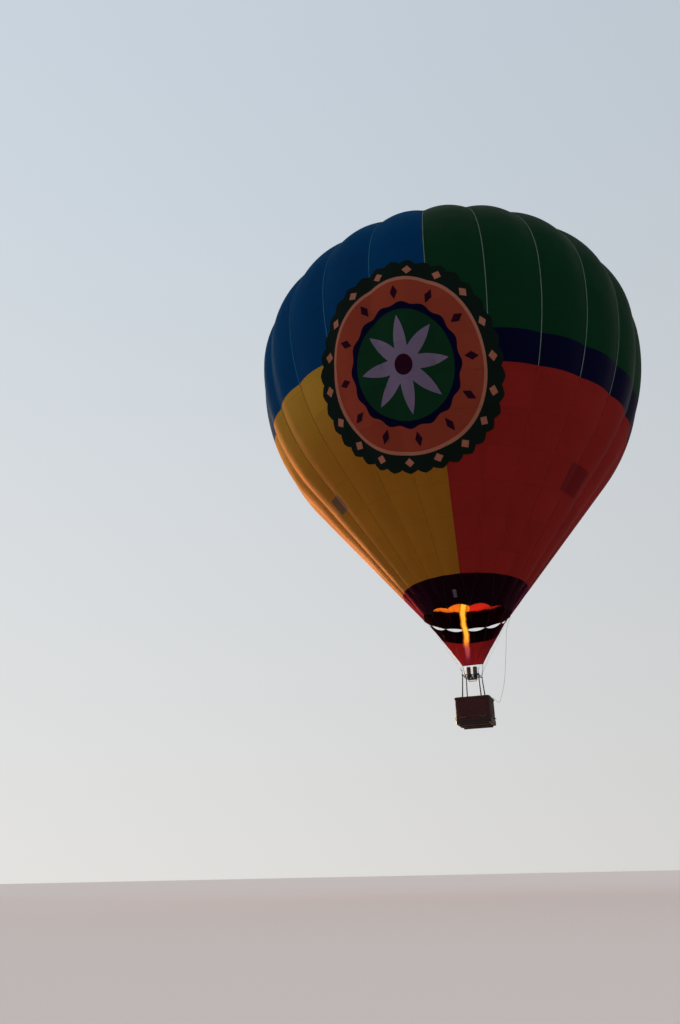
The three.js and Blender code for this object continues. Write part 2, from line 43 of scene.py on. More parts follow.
# Envelope, as in the frame
EQUATOR_RADIUS = 9.0
CROWN_HEIGHT = 6.89
LOWER_AXIS = 9.716
CONE_START = -6.376
GORES = 24
GORE = 360 / GORES
GORE_PHASE = 7.5            # azimuth of the first tape, degrees from -Y towards +X
GORE_BULGE = 0.019
MOUTH_BULGE = 0.02
OPENING_RADIUS = 2.4
LEFT_EDGE = -3.24
RIGHT_EDGE = -3.33
NAVY_BOTTOM = -4.55
BAND_TOP = -11.4
MOUTH_LEVEL = -12.555
SCALLOP_RISE = 0.11
WIRE_ANGLE = 30.0
WIRE_PHASE = 15.0           # azimuth of the first wire
VALVE_RADIUS = 2.7
VALVE_DEPTH = 0.018
VALVE_DIP = 0.035           # at the tapes, where the valve's cloth is drawn down most
PANEL_PITCH = 1.45          # between the horizontal seams
SKIN_SINK = 0.004           # the cloth lies just inside the frame's outer face
SKIN_ROW = 0.13             # the height of the cloth's faces
SKIN_COLUMNS = GORES // 2 * 16 + 1
TAPE_WIDTH = 0.036
TAPE_ROW = 0.16
BAND_TAPE_WIDTH = 0.026
WIRE_RADIUS = 0.0024

# Scoop, as in the frame
SCOOP_TOP_LEVEL = -12.6
SCOOP_TOP_RADIUS = 1.745
SCOOP_SAG = 0.075
SCOOP_FIRST_AZIMUTH = 92.0
SCOOP_SPAN = 176.0
SCOOP_BOTTOM_LEVEL = -14.55
SCOOP_BOTTOM_HALF_WIDTH = 0.45
SCOOP_BOTTOM_Y = 0.36
SCOOP_BILLOW = 0.07
SCOOP_BLACK_SHARE = 0.37
SCOOP_PEAK = 0.042          # at each wire
SCOOP_FOLD = 0.012
SCOOP_COLUMNS = 121

# Burner and basket, as in the frame
FRAME_LEVEL = -15.11
FRAME_HALF_X = 0.34
FRAME_HALF_Y = 0.39
HOOK_BOTTOM = FRAME_LEVEL + 0.0285
HOOK_HEIGHT = 0.11
CAN_X = 0.137
CAN_RADIUS = 0.095
CAN_BOTTOM = FRAME_LEVEL - 0.04
CAN_TOP = FRAME_LEVEL + 0.39
BLOCK_BOTTOM = FRAME_LEVEL - 0.15
BLOCK_TOP = FRAME_LEVEL - 0.045
BASKET_HALF_X = 0.73
BASKET_HALF_Y = 0.61
BASKET_CORNER = 0.13
WALL = 0.035
RIM_LEVEL = -16.1
RIM_PAD = 0.042
RIM_BANDS = 14
WALL_TOP = RIM_LEVEL - 0.4 * RIM_PAD
FLOOR_TOP = -17.12
WALL_BOTTOM = FLOOR_TOP - 0.02
GROUND = -17.22
HIDE_TOP = WALL_BOTTOM + 0.17
HANDLE_LEVEL = -16.86
FOOT_X = 0.4
FOOT_Y = 0.52
FOOT_LEVEL = RIM_LEVEL - 0.13
TANK_X = 0.52
TANK_Y = 0.4
TANK_RADIUS = 0.15
TANK_HEIGHT = 0.78
SLEEVE_RADIUS = 0.028       # at the foot
SLEEVE_TAPER = 0.006
CORNERS = (("front_right", 1, -1, WIRE_PHASE), ("back_right", 1, 1, WIRE_PHASE + 90),
           ("back_left", -1, 1, WIRE_PHASE + 180), ("front_left", -1, -1, WIRE_PHASE + 270))

# Crown line, as in the frame: shown from end to end in the photograph
LINE_ROUTE = (
    (1.799, 0.482, -12.585), (1.760, 0.468, -12.680), (1.668, 0.434, -12.890), (1.584, 0.402, -13.200),
    (1.534, 0.383, -13.600), (1.483, 0.364, -14.040), (1.425, 0.342, -14.475), (1.380, 0.325, -14.820),
    (1.299, 0.295, -15.330), (1.235, 0.271, -15.625), (1.160, 0.242, -15.875), (1.095, 0.217, -16.080),
    (1.046, 0.199, -16.205), (1.000, 0.181, -16.255), (0.945, 0.160, -16.245), (0.880, 0.136, -16.185),
    (0.8105, 0.110, -16.105))
LINE_AZIMUTH = WIRE_PHASE + 90
PLATE_LEVEL = MOUTH_LEVEL + 0.065
CLEAT_Y = 0.11
LINE_DIAMETER = 0.012

# Sheen tints that several cloths share, linear as all colours here
BLUE_SHEEN = (0.35, 0.8, 1.0)
PALE_SHEEN = (0.6, 0.9, 1.0)


# Mesh helpers

def net(points, wrap=False, wrap_rows=False):
    """A part of quads on a grid, its rows from the top down and its columns to the right, facing out."""
    rows, columns = points.shape[:2]
    faces = []
    for r in range(rows if wrap_rows else rows - 1):
        below = (r + 1) % rows * columns
        for c in range(columns if wrap else columns - 1):
            right = (c + 1) % columns
            faces.append((r * columns + c, below + c, below + right, r * columns + right))
    return points.reshape(-1, 3), faces


def unit(vectors):
    return vectors / np.linalg.norm(vectors, axis=-1, keepdims=True)


def full_turn(count):
    return np.linspace(0, 2 * np.pi, count, endpoint=False)


def reach_along(points):
    """How far along a line each of its points lies."""
    return np.concatenate([[0], np.cumsum(np.linalg.norm(np.diff(points, axis=0), axis=1))])


def raised(flat, level):
    """Points of a plan lifted to a level, or to one for each point."""
    return np.column_stack([flat, np.broadcast_to(level, len(flat))])


def spun(angle, radius, height):
    """Points at an angle from +X towards +Y, a distance from the axis and a height."""
    return np.stack(np.broadcast_arrays(radius * np.cos(angle), radius * np.sin(angle), height), -1)


def polar(azimuth, reach, level):
    """Points at an azimuth in degrees from -Y towards +X, a distance from the axis and a level."""
    turn = np.radians(azimuth)
    return np.stack(np.broadcast_arrays(reach * np.sin(turn), -reach * np.cos(turn), level), -1)


def turned(points, azimuth):
    return points @ np.array(Matrix.Rotation(math.radians(azimuth), 3, "Z")).T


def tube(points, radius, sides=8, closed=False):
    """A round tube along points; radius is one number, or one for each point."""
    points = np.asarray(points, float)
    along = unit(np.roll(points, -1, 0) - np.roll(points, 1, 0) if closed else np.gradient(points, axis=0))
    guess = np.array([0, 0, 1.0]) if abs(along[0][2]) < 0.9 else np.array([1.0, 0, 0])
    side = []
    for direction in along:
        guess = unit(guess - direction * guess.dot(direction))
        side.append(guess)
    side = np.array(side)
    angle = full_turn(sides)[:, None]
    spokes = np.cos(angle) * side[:, None] + np.sin(angle) * np.cross(along, side)[:, None]
    reach = np.broadcast_to(radius, len(points))[:, None, None]
    verts, faces = net(points[:, None] + reach * spokes, True, closed)
    if not closed:
        faces += [tuple(range(sides)), tuple(range(len(verts) - sides, len(verts)))[::-1]]
    return verts, faces


def rod(start, end, radius, sides=10):
    return tube([start, end], radius, sides)


def post(spot, low, high, radius, sides):
    """An upright rod at a spot of the plan."""
    return rod((*spot, low), (*spot, high), radius, sides)


def lathe(profile, sides, centre=(0, 0, 0), closed=False):
    """A turned shape from pairs of radius and height."""
    radii, heights = np.transpose(profile)[..., None]
    verts, faces = net(spun(full_turn(sides), radii, heights) + centre, True, closed)
    if not closed:
        faces += [tuple(range(sides)), tuple(range(len(verts) - sides, len(verts)))]
    return verts, faces


def block(size, centre, bevel=0.003, turn=None):
    """A box with rounded edges."""
    box = bmesh.new()
    bmesh.ops.create_cube(box, size=1)
    bmesh.ops.scale(box, vec=size, verts=box.verts)
    bmesh.ops.bevel(box, geom=list(box.edges), offset=bevel, segments=2, affect="EDGES", profile=0.6)
    if turn is not None:
        bmesh.ops.transform(box, matrix=turn, verts=box.verts)
    bmesh.ops.translate(box, vec=Vector(centre), verts=box.verts)
    box.verts.index_update()
    verts = [tuple(v.co) for v in box.verts]
    faces = [tuple(v.index for v in f.verts) for f in box.faces]
    box.free()
    return verts, faces


def ring(radius, thickness, centre, normal=(0, 0, 1), turns=24, sides=8):
    turn = np.array(Vector((0, 0, 1)).rotation_difference(Vector(normal)).to_matrix())
    return tube(spun(full_turn(turns), radius, 0) @ turn.T + centre, thickness, sides, True)


def spaced(points, step, closed=False):
    """Points about a step apart along a line; a closed one gets an even number of them."""
    reach = reach_along(points)
    steps = reach[-1] / step
    count = int(round(steps / 2)) * 2 if closed else max(2, int(round(steps)) + 1)
    want = np.linspace(0, reach[-1], count, endpoint=not closed)
    return np.stack([np.interp(want, reach, column) for column in np.transpose(points)], 1)


def between(a, b, start, end, t):
    return ((end - t) * a + (t - start) * b) / (end - start)


def smooth_path(points, step):
    """Points a step apart on a centripetal curve through the given ones."""
    given = np.asarray(points, float)
    knots = np.vstack([2 * given[0] - given[1], given, 2 * given[-1] - given[-2]])
    dense = []
    for i in range(1, len(knots) - 2):
        a, b, c, d = knots[i - 1:i + 3]
        t1 = np.linalg.norm(b - a) ** 0.5
        t2 = t1 + np.linalg.norm(c - b) ** 0.5
        t3 = t2 + np.linalg.norm(d - c) ** 0.5
        t = np.linspace(t1, t2, 24, endpoint=False)[:, None]
        ab, bc, cd = between(a, b, 0, t1, t), between(b, c, t1, t2, t), between(c, d, t2, t3, t)
        dense.append(between(between(ab, bc, 0, t2, t), between(bc, cd, t1, t3, t), t1, t2, t))
    return spaced(np.concatenate(dense + [given[-1:]]), step)


def rope(points, radius, pitch):
    """A rope of three strands along points that are evenly spaced."""
    sides = 12
    verts, faces = tube(points, 1.0, sides)
    strands = 0.9 + 0.1 * np.cos(3 * (full_turn(sides) - 2 * np.pi * reach_along(points)[:, None] / pitch))
    spokes = verts.reshape(len(points), sides, 3) - points[:, None]
    return (points[:, None] + spokes * strands[..., None] * radius).reshape(-1, 3), faces


def add(name, data):
    """Puts a new object into the scene."""
    made = bpy.data.objects.new(name, data)
    bpy.context.scene.collection.objects.link(made)
    return made


def piece(name, parts, look, replaces=None, body="balloon", sheet=False, angle=40):
    """One mesh object from several lists of points and faces, riding on a body."""
    verts, faces, start = [], [], 0
    for part_verts, part_faces in parts:
        verts.append(np.asarray(part_verts, float))
        faces += [tuple(i + start for i in face) for face in part_faces]
        start += len(part_verts)
    mesh = bpy.data.meshes.new(name)
    mesh.from_pydata(np.concatenate(verts).tolist(), [], faces)
    if not sheet:
        solid = bmesh.new()
        solid.from_mesh(mesh)
        bmesh.ops.recalc_face_normals(solid, faces=solid.faces)
        solid.to_mesh(mesh)
        solid.free()
    mesh.polygons.foreach_set("use_smooth", [True] * len(mesh.polygons))
    if not sheet:
        mesh.set_sharp_from_angle(angle=math.radians(angle))
    mesh.materials.append(LOOKS[look])
    made = add(name, mesh)
    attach(made, body)
    if replaces:
        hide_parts(replaces)
    return made


# Materials

LOOKS = {}


class Look:
    """A node material with short calls for the nodes that are used most."""

    def __init__(self, name, roughness=0.5, metallic=0.0, specular=0.5):
        LOOKS[name] = bpy.data.materials.new(name)
        LOOKS[name].use_nodes = True
        self.tree = LOOKS[name].node_tree
        self.shader = self.tree.nodes["Principled BSDF"]
        self.set(Roughness=roughness, Metallic=metallic, Specular_IOR_Level=specular)

    def put(self, socket, value):
        if isinstance(value, bpy.types.NodeSocket):
            self.tree.links.new(value, socket)
        elif hasattr(value, "__len__") and len(value) == 3 and socket.type == "RGBA":
            socket.default_value = (*value, 1)
        else:
            socket.default_value = value

    def fill(self, sockets, values):
        for socket, value in zip(sockets, values):
            self.put(socket, value)

    def set(self, **values):
        """Sets the shader's own sockets."""
        for key, value in values.items():
            self.put(self.shader.inputs[key.replace("_", " ")], value)

    def node(self, kind, settings=None, **inputs):
        made = self.tree.nodes.new("ShaderNode" + kind)
        for key, value in (settings or {}).items():
            setattr(made, key, value)
        for key, value in inputs.items():
            self.put(made.inputs[key.replace("_", " ")], value)
        return made

    def math(self, operation, a, b=0.0, c=0.0):
        made = self.node("Math", {"operation": operation})
        self.fill(made.inputs, (a, b, c))
        return made.outputs[0]

    def total(self, start, *terms):
        """A start value with weighted values added to it."""
        for value, weight in terms:
            start = self.math("MULTIPLY_ADD", value, weight, start)
        return start

    def band(self, value, low, high, out_low=0.0, out_high=1.0):
        made = self.node("MapRange", {"interpolation_type": "SMOOTHSTEP"}, Value=value, From_Min=low,
                         From_Max=high, To_Min=out_low, To_Max=out_high)
        return made.outputs[0]

    def place(self, scale=(1, 1, 1)):
        coordinate = self.node("TexCoord").outputs["Object"]
        return self.node("Mapping", Vector=coordinate, Scale=scale).outputs[0]

    def level(self):
        return self.node("SeparateXYZ", Vector=self.place()).outputs[2]

    def noise(self, scale, detail=2.0, roughness=0.5, at=(1, 1, 1)):
        """Clouds on the object's own coordinates stretched by at, or on another vector."""
        vector = at if isinstance(at, bpy.types.NodeSocket) else self.place(at)
        made = self.node("TexNoise", Vector=vector, Scale=scale, Detail=detail, Roughness=roughness)
        return made.outputs[0]

    def wave(self, scale, distortion, direction, at=(1, 1, 1)):
        return self.node("TexWave", {"bands_direction": direction}, Vector=self.place(at), Scale=scale,
                         Distortion=distortion).outputs["Fac"]

    def mix(self, share, a, b, blend="MIX"):
        made = self.node("Mix", {"data_type": "RGBA", "blend_type": blend})
        self.fill((made.inputs[0], made.inputs[6], made.inputs[7]), (share, a, b))
        return made.outputs[2]

    def shade(self, colour, factor):
        """A colour made lighter or darker by a number from a node."""
        grey = self.node("CombineColor", Red=factor, Green=factor, Blue=factor).outputs[0]
        return self.mix(1.0, colour, grey, "MULTIPLY")

    def soil(self, colour, scale, detail, dark, light):
        """Sets the colour with darker and lighter clouds."""
        self.set(Base_Color=self.shade(colour, self.band(self.noise(scale, detail), 0.2, 0.8, dark, light)))

    def bump(self, height, distance):
        made = self.node("Bump", Height=height, Distance=distance, Strength=1.0)
        self.set(Normal=made.outputs[0])
        return made.outputs[0]

    def blend(self, share, first, second):
        """Ends the material in a mix of two shaders."""
        made = self.node("MixShader")
        self.fill(made.inputs, (share, first, second))
        self.put(self.tree.nodes["Material Output"].inputs[0], made.outputs[0])

    def let_through(self, share, colour, normal):
        """Lets a share of the light through to the cloth's other side."""
        thin = self.node("BsdfTranslucent", Color=colour, Normal=normal)
        self.blend(share, self.shader.outputs[0], thin.outputs[0])


def envelope_cloth(name, colour, through=0.10, sheen=0.06, tint=BLUE_SHEEN, painted_top_light=None):
    """Coated ripstop nylon: fine grid, sewn seams, puckers along the tapes, a little light let through.

    Where a second colour is given, the upper part near the equator is painted lighter towards it: painted
    light from the sky above.
    """
    look = Look(name, specular=0.01)
    cloth = look.node("Attribute", {"attribute_name": "cloth"})
    across, down, near_tape = look.node("SeparateXYZ", Vector=cloth.outputs["Vector"]).outputs
    tone = look.node("Attribute", {"attribute_name": "tone"}).outputs["Fac"]
    seam = look.band(look.math("PINGPONG", down, PANEL_PITCH / 2), 0.006, 0.024, 1.0, 0.0)
    warp, weft = [look.band(look.math("PINGPONG", way, 0.006), 0.0005, 0.0014, 1.0, 0.0)
                  for way in (across, down)]
    ripstop = look.math("MAXIMUM", warp, weft)
    clouds = []
    for wide, tall, detail in ((1.3, 6.0, 3.0), (2.2, 0.5, 2.0)):
        spot = look.node("CombineXYZ", X=look.math("MULTIPLY", across, wide),
                         Y=look.math("MULTIPLY", down, tall))
        clouds.append(look.noise(1.0, detail, at=spot.outputs[0]))
    puckers = look.math("MULTIPLY", clouds[0], look.math("POWER", near_tape, 7.0))
    swell = look.noise(0.55, 1.0)
    normal = look.bump(look.total(0.0, (puckers, 0.05), (swell, 0.10), (clouds[1], 0.016), (seam, 0.003),
                                  (ripstop, 0.0002)), 1.0)
    fade = look.noise(1.0, 3.0, at=(0.5, 0.5, 0.25))
    shade = look.total(0.81, (tone, 0.08), (fade, 0.30), (seam, -0.09), (ripstop, -0.07))
    # The upper part, towards the equator, is painted lighter towards the second colour: painted light from
    # the sky above.
    dye_and_painted_light = look.mix(look.band(look.level(), -7.0, -3.5), colour, painted_top_light) if painted_top_light else colour
    look.set(Base_Color=look.shade(dye_and_painted_light, shade), Roughness=look.band(fade, 0.2, 0.8, 0.66, 0.80),
             Sheen_Weight=sheen, Sheen_Roughness=0.35, Sheen_Tint=tint)
    look.let_through(through, look.shade(tuple(min(0.9, 1.5 * c) for c in colour), shade), normal)


def proof_cloth(name, colour, through=0.0):
    """Flame-proof cloth: a plain weave with soft folds and a wine-red sheen."""
    look = Look(name, 0.75, specular=0.0)
    weave = look.math("ADD", look.wave(180.0, 0.4, "DIAGONAL"), look.wave(180.0, 0.4, "Z"))
    folds = look.noise(1.6, at=(1.6, 1.6, 0.6))
    normal = look.bump(look.total(0.0, (weave, 0.0001), (folds, 0.03)), 1.0)
    shade = look.total(0.72, (look.noise(1.4, 4.0), 0.5))
    look.set(Base_Color=look.shade(colour, shade), Sheen_Weight=0.32, Sheen_Roughness=0.35,
             Sheen_Tint=(0.9, 0.16, 0.28))
    if through:
        look.let_through(through, look.shade(tuple(1.4 * c for c in colour), shade), normal)


def webbing(name, colour):
    look = Look(name, 0.75, specular=0.0)
    look.bump(look.wave(260.0, 0.2, "DIAGONAL"), 0.0006)
    look.soil(colour, 3.0, 3.0, 0.78, 1.12)


def metal(name, colour, roughness, scratch=220.0, tint=None):
    """Brushed metal with fine scratches, and heat colours where tint is given."""
    look = Look(name, metallic=1.0)
    grain = look.noise(scratch, at=(1.0, 1.0, 14.0))
    base = look.shade(colour, look.band(look.noise(9.0, 3.0), 0.25, 0.75, 0.82, 1.06))
    if tint:
        base = look.mix(look.band(look.noise(1.0, at=(6, 6, 9)), 0.42, 0.66), base, tint)
    look.set(Base_Color=base, Roughness=look.band(grain, 0.2, 0.8, roughness - 0.07, roughness + 0.12))
    look.bump(grain, 0.0002)


def wicker_look():
    look = Look("wicker", specular=0.2)
    streak = look.noise(2.0, 3.0, at=(26.0, 26.0, 3.0))
    patch = look.noise(1.0, at=(2.5, 2.5, 22.0))
    warm = look.mix(look.band(streak, 0.25, 0.75), (0.024, 0.0040, 0.0045), (0.075, 0.014, 0.013))
    look.set(Base_Color=look.shade(warm, look.band(patch, 0.2, 0.8, 0.6, 1.25)),
             Roughness=look.band(patch, 0.2, 0.8, 0.45, 0.68))
    look.bump(streak, 0.0008)


def leather(name, colour, worn, scale=240.0):
    look = Look(name, specular=0.15)
    cells = look.node("TexVoronoi", Vector=look.place(), Scale=scale)
    pores = look.band(cells.outputs["Distance"], 0.1, 0.6)
    wear = look.noise(7.0, 4.0, 0.65)
    look.set(Base_Color=look.mix(look.band(wear, 0.52, 0.74), colour, worn),
             Roughness=look.band(wear, 0.3, 0.8, 0.48, 0.70))
    look.bump(look.total(pores, (wear, 3.0)), 0.0007)


def wood(name, light, dark):
    look = Look(name, specular=0.15)
    grain = look.noise(5.0, 4.0, 0.6, at=(1.0, 14.0, 14.0))
    rings = look.wave(1.6, 6.0, "Y", at=(0.5, 7.0, 7.0))
    base = look.mix(look.band(grain, 0.3, 0.7), dark, light)
    scuffs = look.band(look.noise(11.0, 4.0), 0.55, 0.72)
    look.set(Base_Color=look.mix(look.math("MULTIPLY", scuffs, 0.5),
                                 look.shade(base, look.band(rings, 0, 1, 0.85, 1.05)), (0.05, 0.036, 0.027)),
             Roughness=look.band(grain, 0.2, 0.8, 0.45, 0.7))
    look.bump(grain, 0.0008)


def rope_look(name, colour):
    look = Look(name, 0.8, specular=0.2)
    look.bump(look.noise(900.0, at=(1, 1, 0.4)), 0.0006)
    look.soil(colour, 4.0, 3.0, 0.7, 1.15)
    look.set(Sheen_Weight=0.25, Sheen_Roughness=0.5)


def quilt(name, colour):
    """Padded tank cover: heavy nylon with quilted rows."""
    look = Look(name, 0.7, specular=0.25)
    rows = look.wave(9.0, 0.0, "Z")
    weave = look.wave(240.0, 0.3, "DIAGONAL")
    look.bump(look.total(0.0, (rows, 6.0), (weave, 0.3)), 0.0015)
    look.soil(colour, 6.0, 4.0, 0.75, 1.25)
    look.set(Sheen_Weight=0.2, Sheen_Roughness=0.5)


def plain(name, colour, roughness, grain=300.0, depth=0.0003):
    """Painted or moulded surfaces with a faint orange peel and small scuffs."""
    look = Look(name)
    scuff = look.noise(18.0, 4.0)
    look.set(Base_Color=look.shade(colour, look.band(scuff, 0.2, 0.8, 0.85, 1.1)),
             Roughness=look.band(scuff, 0.3, 0.75, roughness - 0.05, roughness + 0.12))
    look.bump(look.noise(grain, 1.0), depth)


def ramp_of(ramp, stops):
    """Fills a colour ramp from pairs of a place and a colour."""
    while len(ramp.elements) < len(stops):
        ramp.elements.new(0.5)
    for element, (position, colour) in zip(ramp.elements, stops):
        element.position = position
        element.color = (*colour, 1)


# Flame colours from its foot to its tip, with their places on the way up
CORE_COLOURS = ((0.0, (0.12, 0.03, 0.10)), (0.08, (0.45, 0.05, 0.06)), (0.16, (0.62, 0.08, 0.05)),
                (0.23, (0.70, 0.11, 0.02)), (0.30, (1.0, 0.34, 0.03)), (0.37, (1.0, 0.55, 0.05)),
                (1.0, (1.0, 0.62, 0.04)))
EDGE_COLOURS = ((0.0, (0.10, 0.02, 0.08)), (0.25, (0.26, 0.03, 0.02)), (0.36, (0.30, 0.055, 0.005)),
                (1.0, (0.42, 0.09, 0.005)))


def flame_look(name, stops, thin, thick):
    """A burning gas: see-through and dark at its foot, yellow above."""
    look = Look(name)
    height = look.level()
    tongues = look.noise(1.0, 3.0, at=(7.0, 7.0, 2.2))
    ramp = look.node("ValToRGB", Fac=look.band(look.total(height, (look.math("SUBTRACT", tongues, 0.5), 0.5)),
                                               CAN_TOP, -11.7))
    ramp_of(ramp.color_ramp, stops)
    power = look.math("MULTIPLY", look.band(height, CAN_TOP, -13.4, 0.75, 1.6),
                      look.band(tongues, 0.25, 0.75, 0.8, 1.2))
    fire = look.node("Emission", Color=ramp.outputs[0], Strength=power)
    look.blend(look.band(height, -14.5, -13.75, thin, thick), look.node("BsdfTransparent").outputs[0],
               fire.outputs[0])


# Finishes of the balloon's main parts
envelope_cloth("blue_fabric", (0.0002, 0.0262, 0.089), 0.10, 0.05, (0.02, 0.6, 0.9))
envelope_cloth("green_fabric", (0.0022, 0.0225, 0.0088), 0.10, 0.07, (1.0, 0.8, 0.8))
envelope_cloth("navy_fabric", (0.0010, 0.0012, 0.014), 0.10, 0.10, (1.0, 0.8, 0.9))
# The yellow's second colour paints its upper part lighter: painted light from the sky above.
envelope_cloth("yellow_fabric", (0.245, 0.098, 0.010), 0.20, 0.07, PALE_SHEEN, painted_top_light=(0.32, 0.17, 0.020))
envelope_cloth("red_fabric", (0.180, 0.0115, 0.0095), 0.10, 0.03, PALE_SHEEN)
proof_cloth("black_fabric", (0.005, 0.0010, 0.003))
proof_cloth("scoop_red_fabric", (0.17, 0.011, 0.015), 0.18)
webbing("webbing", (0.02, 0.02, 0.023))
metal("steel_wire", (0.04, 0.038, 0.04), 0.42, 900.0)
metal("crown_alloy", (0.6, 0.6, 0.62), 0.32)
metal("burner_steel", (0.060, 0.050, 0.048), 0.40, 220.0, (0.040, 0.026, 0.024))
metal("coil_steel", (0.08, 0.062, 0.058), 0.40, 220.0, (0.04, 0.028, 0.045))
metal("valve_brass", (0.56, 0.38, 0.13), 0.28)
plain("lever_red", (0.40, 0.02, 0.015), 0.35)
plain("grip_black", (0.02, 0.02, 0.021), 0.65, 700.0, 0.0006)
wicker_look()
leather("rim_leather", (0.038, 0.016, 0.009), (0.085, 0.042, 0.024))
leather("hide_leather", (0.013, 0.005, 0.005), (0.034, 0.015, 0.012), 180.0)
leather("upright_leather", (0.020, 0.011, 0.008), (0.06, 0.034, 0.022))
wood("runner_wood", (0.050, 0.026, 0.017), (0.028, 0.014, 0.010))
rope_look("rope", (0.09, 0.06, 0.045))
quilt("tank_cover", (0.030, 0.036, 0.048))

# Looks of the added pieces
envelope_cloth("orange_applique", (0.19, 0.031, 0.017))
envelope_cloth("maroon_applique", (0.016, 0.002, 0.009))
envelope_cloth("lilac_applique", (0.13, 0.10, 0.165))
envelope_cloth("pink_applique", (0.27, 0.10, 0.068))
envelope_cloth("dark_green_applique", (0.004, 0.008, 0.006), 0.05)
envelope_cloth("deep_green_applique", (0.0045, 0.026, 0.011))
envelope_cloth("ochre_applique", (0.12, 0.060, 0.034))
envelope_cloth("wine_applique", (0.135, 0.008, 0.009))
webbing("pale_tape", (0.11, 0.14, 0.125))
webbing("blue_tape", (0.022, 0.095, 0.165))
webbing("red_tape", (0.205, 0.015, 0.012))
webbing("yellow_tape", (0.235, 0.094, 0.010))
webbing("band_tape", (0.010, 0.007, 0.012))
webbing("blank_patch", (0.07, 0.065, 0.085))
metal("frame_steel", (0.045, 0.040, 0.042), 0.45)
plain("blank_dial", (0.5, 0.5, 0.48), 0.4)
rope_look("stitching", (0.12, 0.075, 0.045))
wood("floor_wood", (0.115, 0.062, 0.036), (0.062, 0.032, 0.019))
flame_look("flame_core", CORE_COLOURS, 0.06, 0.95)
flame_look("flame_edge", EDGE_COLOURS, 0.03, 0.50)


# Envelope surface

def ellipse_at(level):
    """The upright half axis of the profile's ellipse at a level, and the level's share of it."""
    height = np.maximum(level, CONE_START)
    axis = np.where(height >= 0, CROWN_HEIGHT, LOWER_AXIS)
    return axis, height / axis


def slope_at(level):
    axis, ratio = ellipse_at(level)
    ratio = np.clip(ratio, -0.9999, 0.9999)
    return -EQUATOR_RADIUS * ratio / (axis * np.sqrt(1 - ratio * ratio))


def tape_radius(level):
    radius = EQUATOR_RADIUS * np.sqrt(np.maximum(0, 1 - ellipse_at(level)[1] ** 2))
    return radius + slope_at(CONE_START) * np.minimum(0, level - CONE_START)


def crown_level(radius):
    return CROWN_HEIGHT * np.sqrt(1 - (radius / EQUATOR_RADIUS) ** 2)


def share_between(azimuth, first, pitch):
    """How far an azimuth is on its way from one tape or wire to the next."""
    return (azimuth - first) % pitch / pitch


def skin(level, azimuth, lift=0.0, fill=0.0):
    """Points of the skin; azimuth in degrees from -Y towards +X, fill rounds the valley at a tape.

    The bulges between the tapes change over the mouth band to bulges between the wires.
    """
    level, azimuth = np.broadcast_arrays(level, azimuth)
    at_tapes = share_between(azimuth, GORE_PHASE, GORE)
    at_wires = share_between(azimuth, WIRE_PHASE, WIRE_ANGLE)
    blend = np.clip((BAND_TOP - level) / (BAND_TOP - MOUTH_LEVEL), 0, 1)
    bulge = 4 * ((1 - blend) * GORE_BULGE * at_tapes * (1 - at_tapes)
                 + blend * MOUTH_BULGE * at_wires * (1 - at_wires))
    radius = tape_radius(level)
    slope = slope_at(level)
    steep = np.hypot(1, slope)
    out = bulge * radius + lift
    if fill:
        away = np.minimum(at_tapes, 1 - at_tapes) * radius * math.radians(GORE)
        out = out + (1 - blend) * 4 * GORE_BULGE / math.radians(GORE) * fill * np.exp(-away / fill)
    return polar(azimuth, radius + out / steep, level - out * slope / steep)


level_table = np.concatenate([CROWN_HEIGHT * np.cos(np.linspace(0.02, math.pi / 2, 400)),
                              np.linspace(-0.03, -13.0, 500)])
down_table = reach_along(np.stack([tape_radius(level_table), level_table], 1))


def down_at(level):
    """The way down the skin from the crown to a level."""
    return np.interp(-np.asarray(level), -level_table, down_table)


def level_at(down):
    return np.interp(down, down_table, level_table)


def cloth_data(made, levels, azimuths):
    """Stores where each point lies in its gore, and a tone for each sewn panel."""
    levels, azimuths = np.broadcast_arrays(levels, azimuths)
    middle = np.abs(2 * share_between(azimuths, GORE_PHASE, GORE) - 1)
    across = middle * tape_radius(levels) * math.radians(GORE) / 2
    data = np.stack([across, down_at(levels), middle], -1)
    made.data.attributes.new("cloth", "FLOAT_VECTOR", "POINT").data.foreach_set("vector", data.ravel())
    tones = chance.random((40, GORES * 2))
    centres = np.zeros(len(made.data.polygons) * 3)
    made.data.polygons.foreach_get("center", centres)
    x, y, z = centres.reshape(-1, 3).T
    panel = (down_at(z) / PANEL_PITCH).astype(int) % 40
    gore = ((np.degrees(np.arctan2(x, -y)) - GORE_PHASE) % 360 / GORE).astype(int)
    made.data.attributes.new("tone", "FLOAT", "FACE").data.foreach_set("value", tones[panel, gore])


def skin_piece(name, azimuth, top, bottom, look, node, closed=False):
    """A sheet of the envelope from a level down to another one, or to one for each azimuth."""
    top_down = down_at(top)
    bottom_down = down_at(np.broadcast_to(bottom, len(azimuth)))
    rows = math.ceil((bottom_down.mean() - top_down) / SKIN_ROW) + 1
    levels = level_at(top_down + np.linspace(0, 1, rows)[:, None] * (bottom_down - top_down))
    made = piece(name, [net(skin(levels, azimuth, -SKIN_SINK), closed)], look, node, sheet=True)
    cloth_data(made, levels, azimuth)
    return made


def scallop(azimuth):
    return MOUTH_LEVEL + SCALLOP_RISE * np.sin(np.pi * share_between(azimuth, WIRE_PHASE, WIRE_ANGLE))


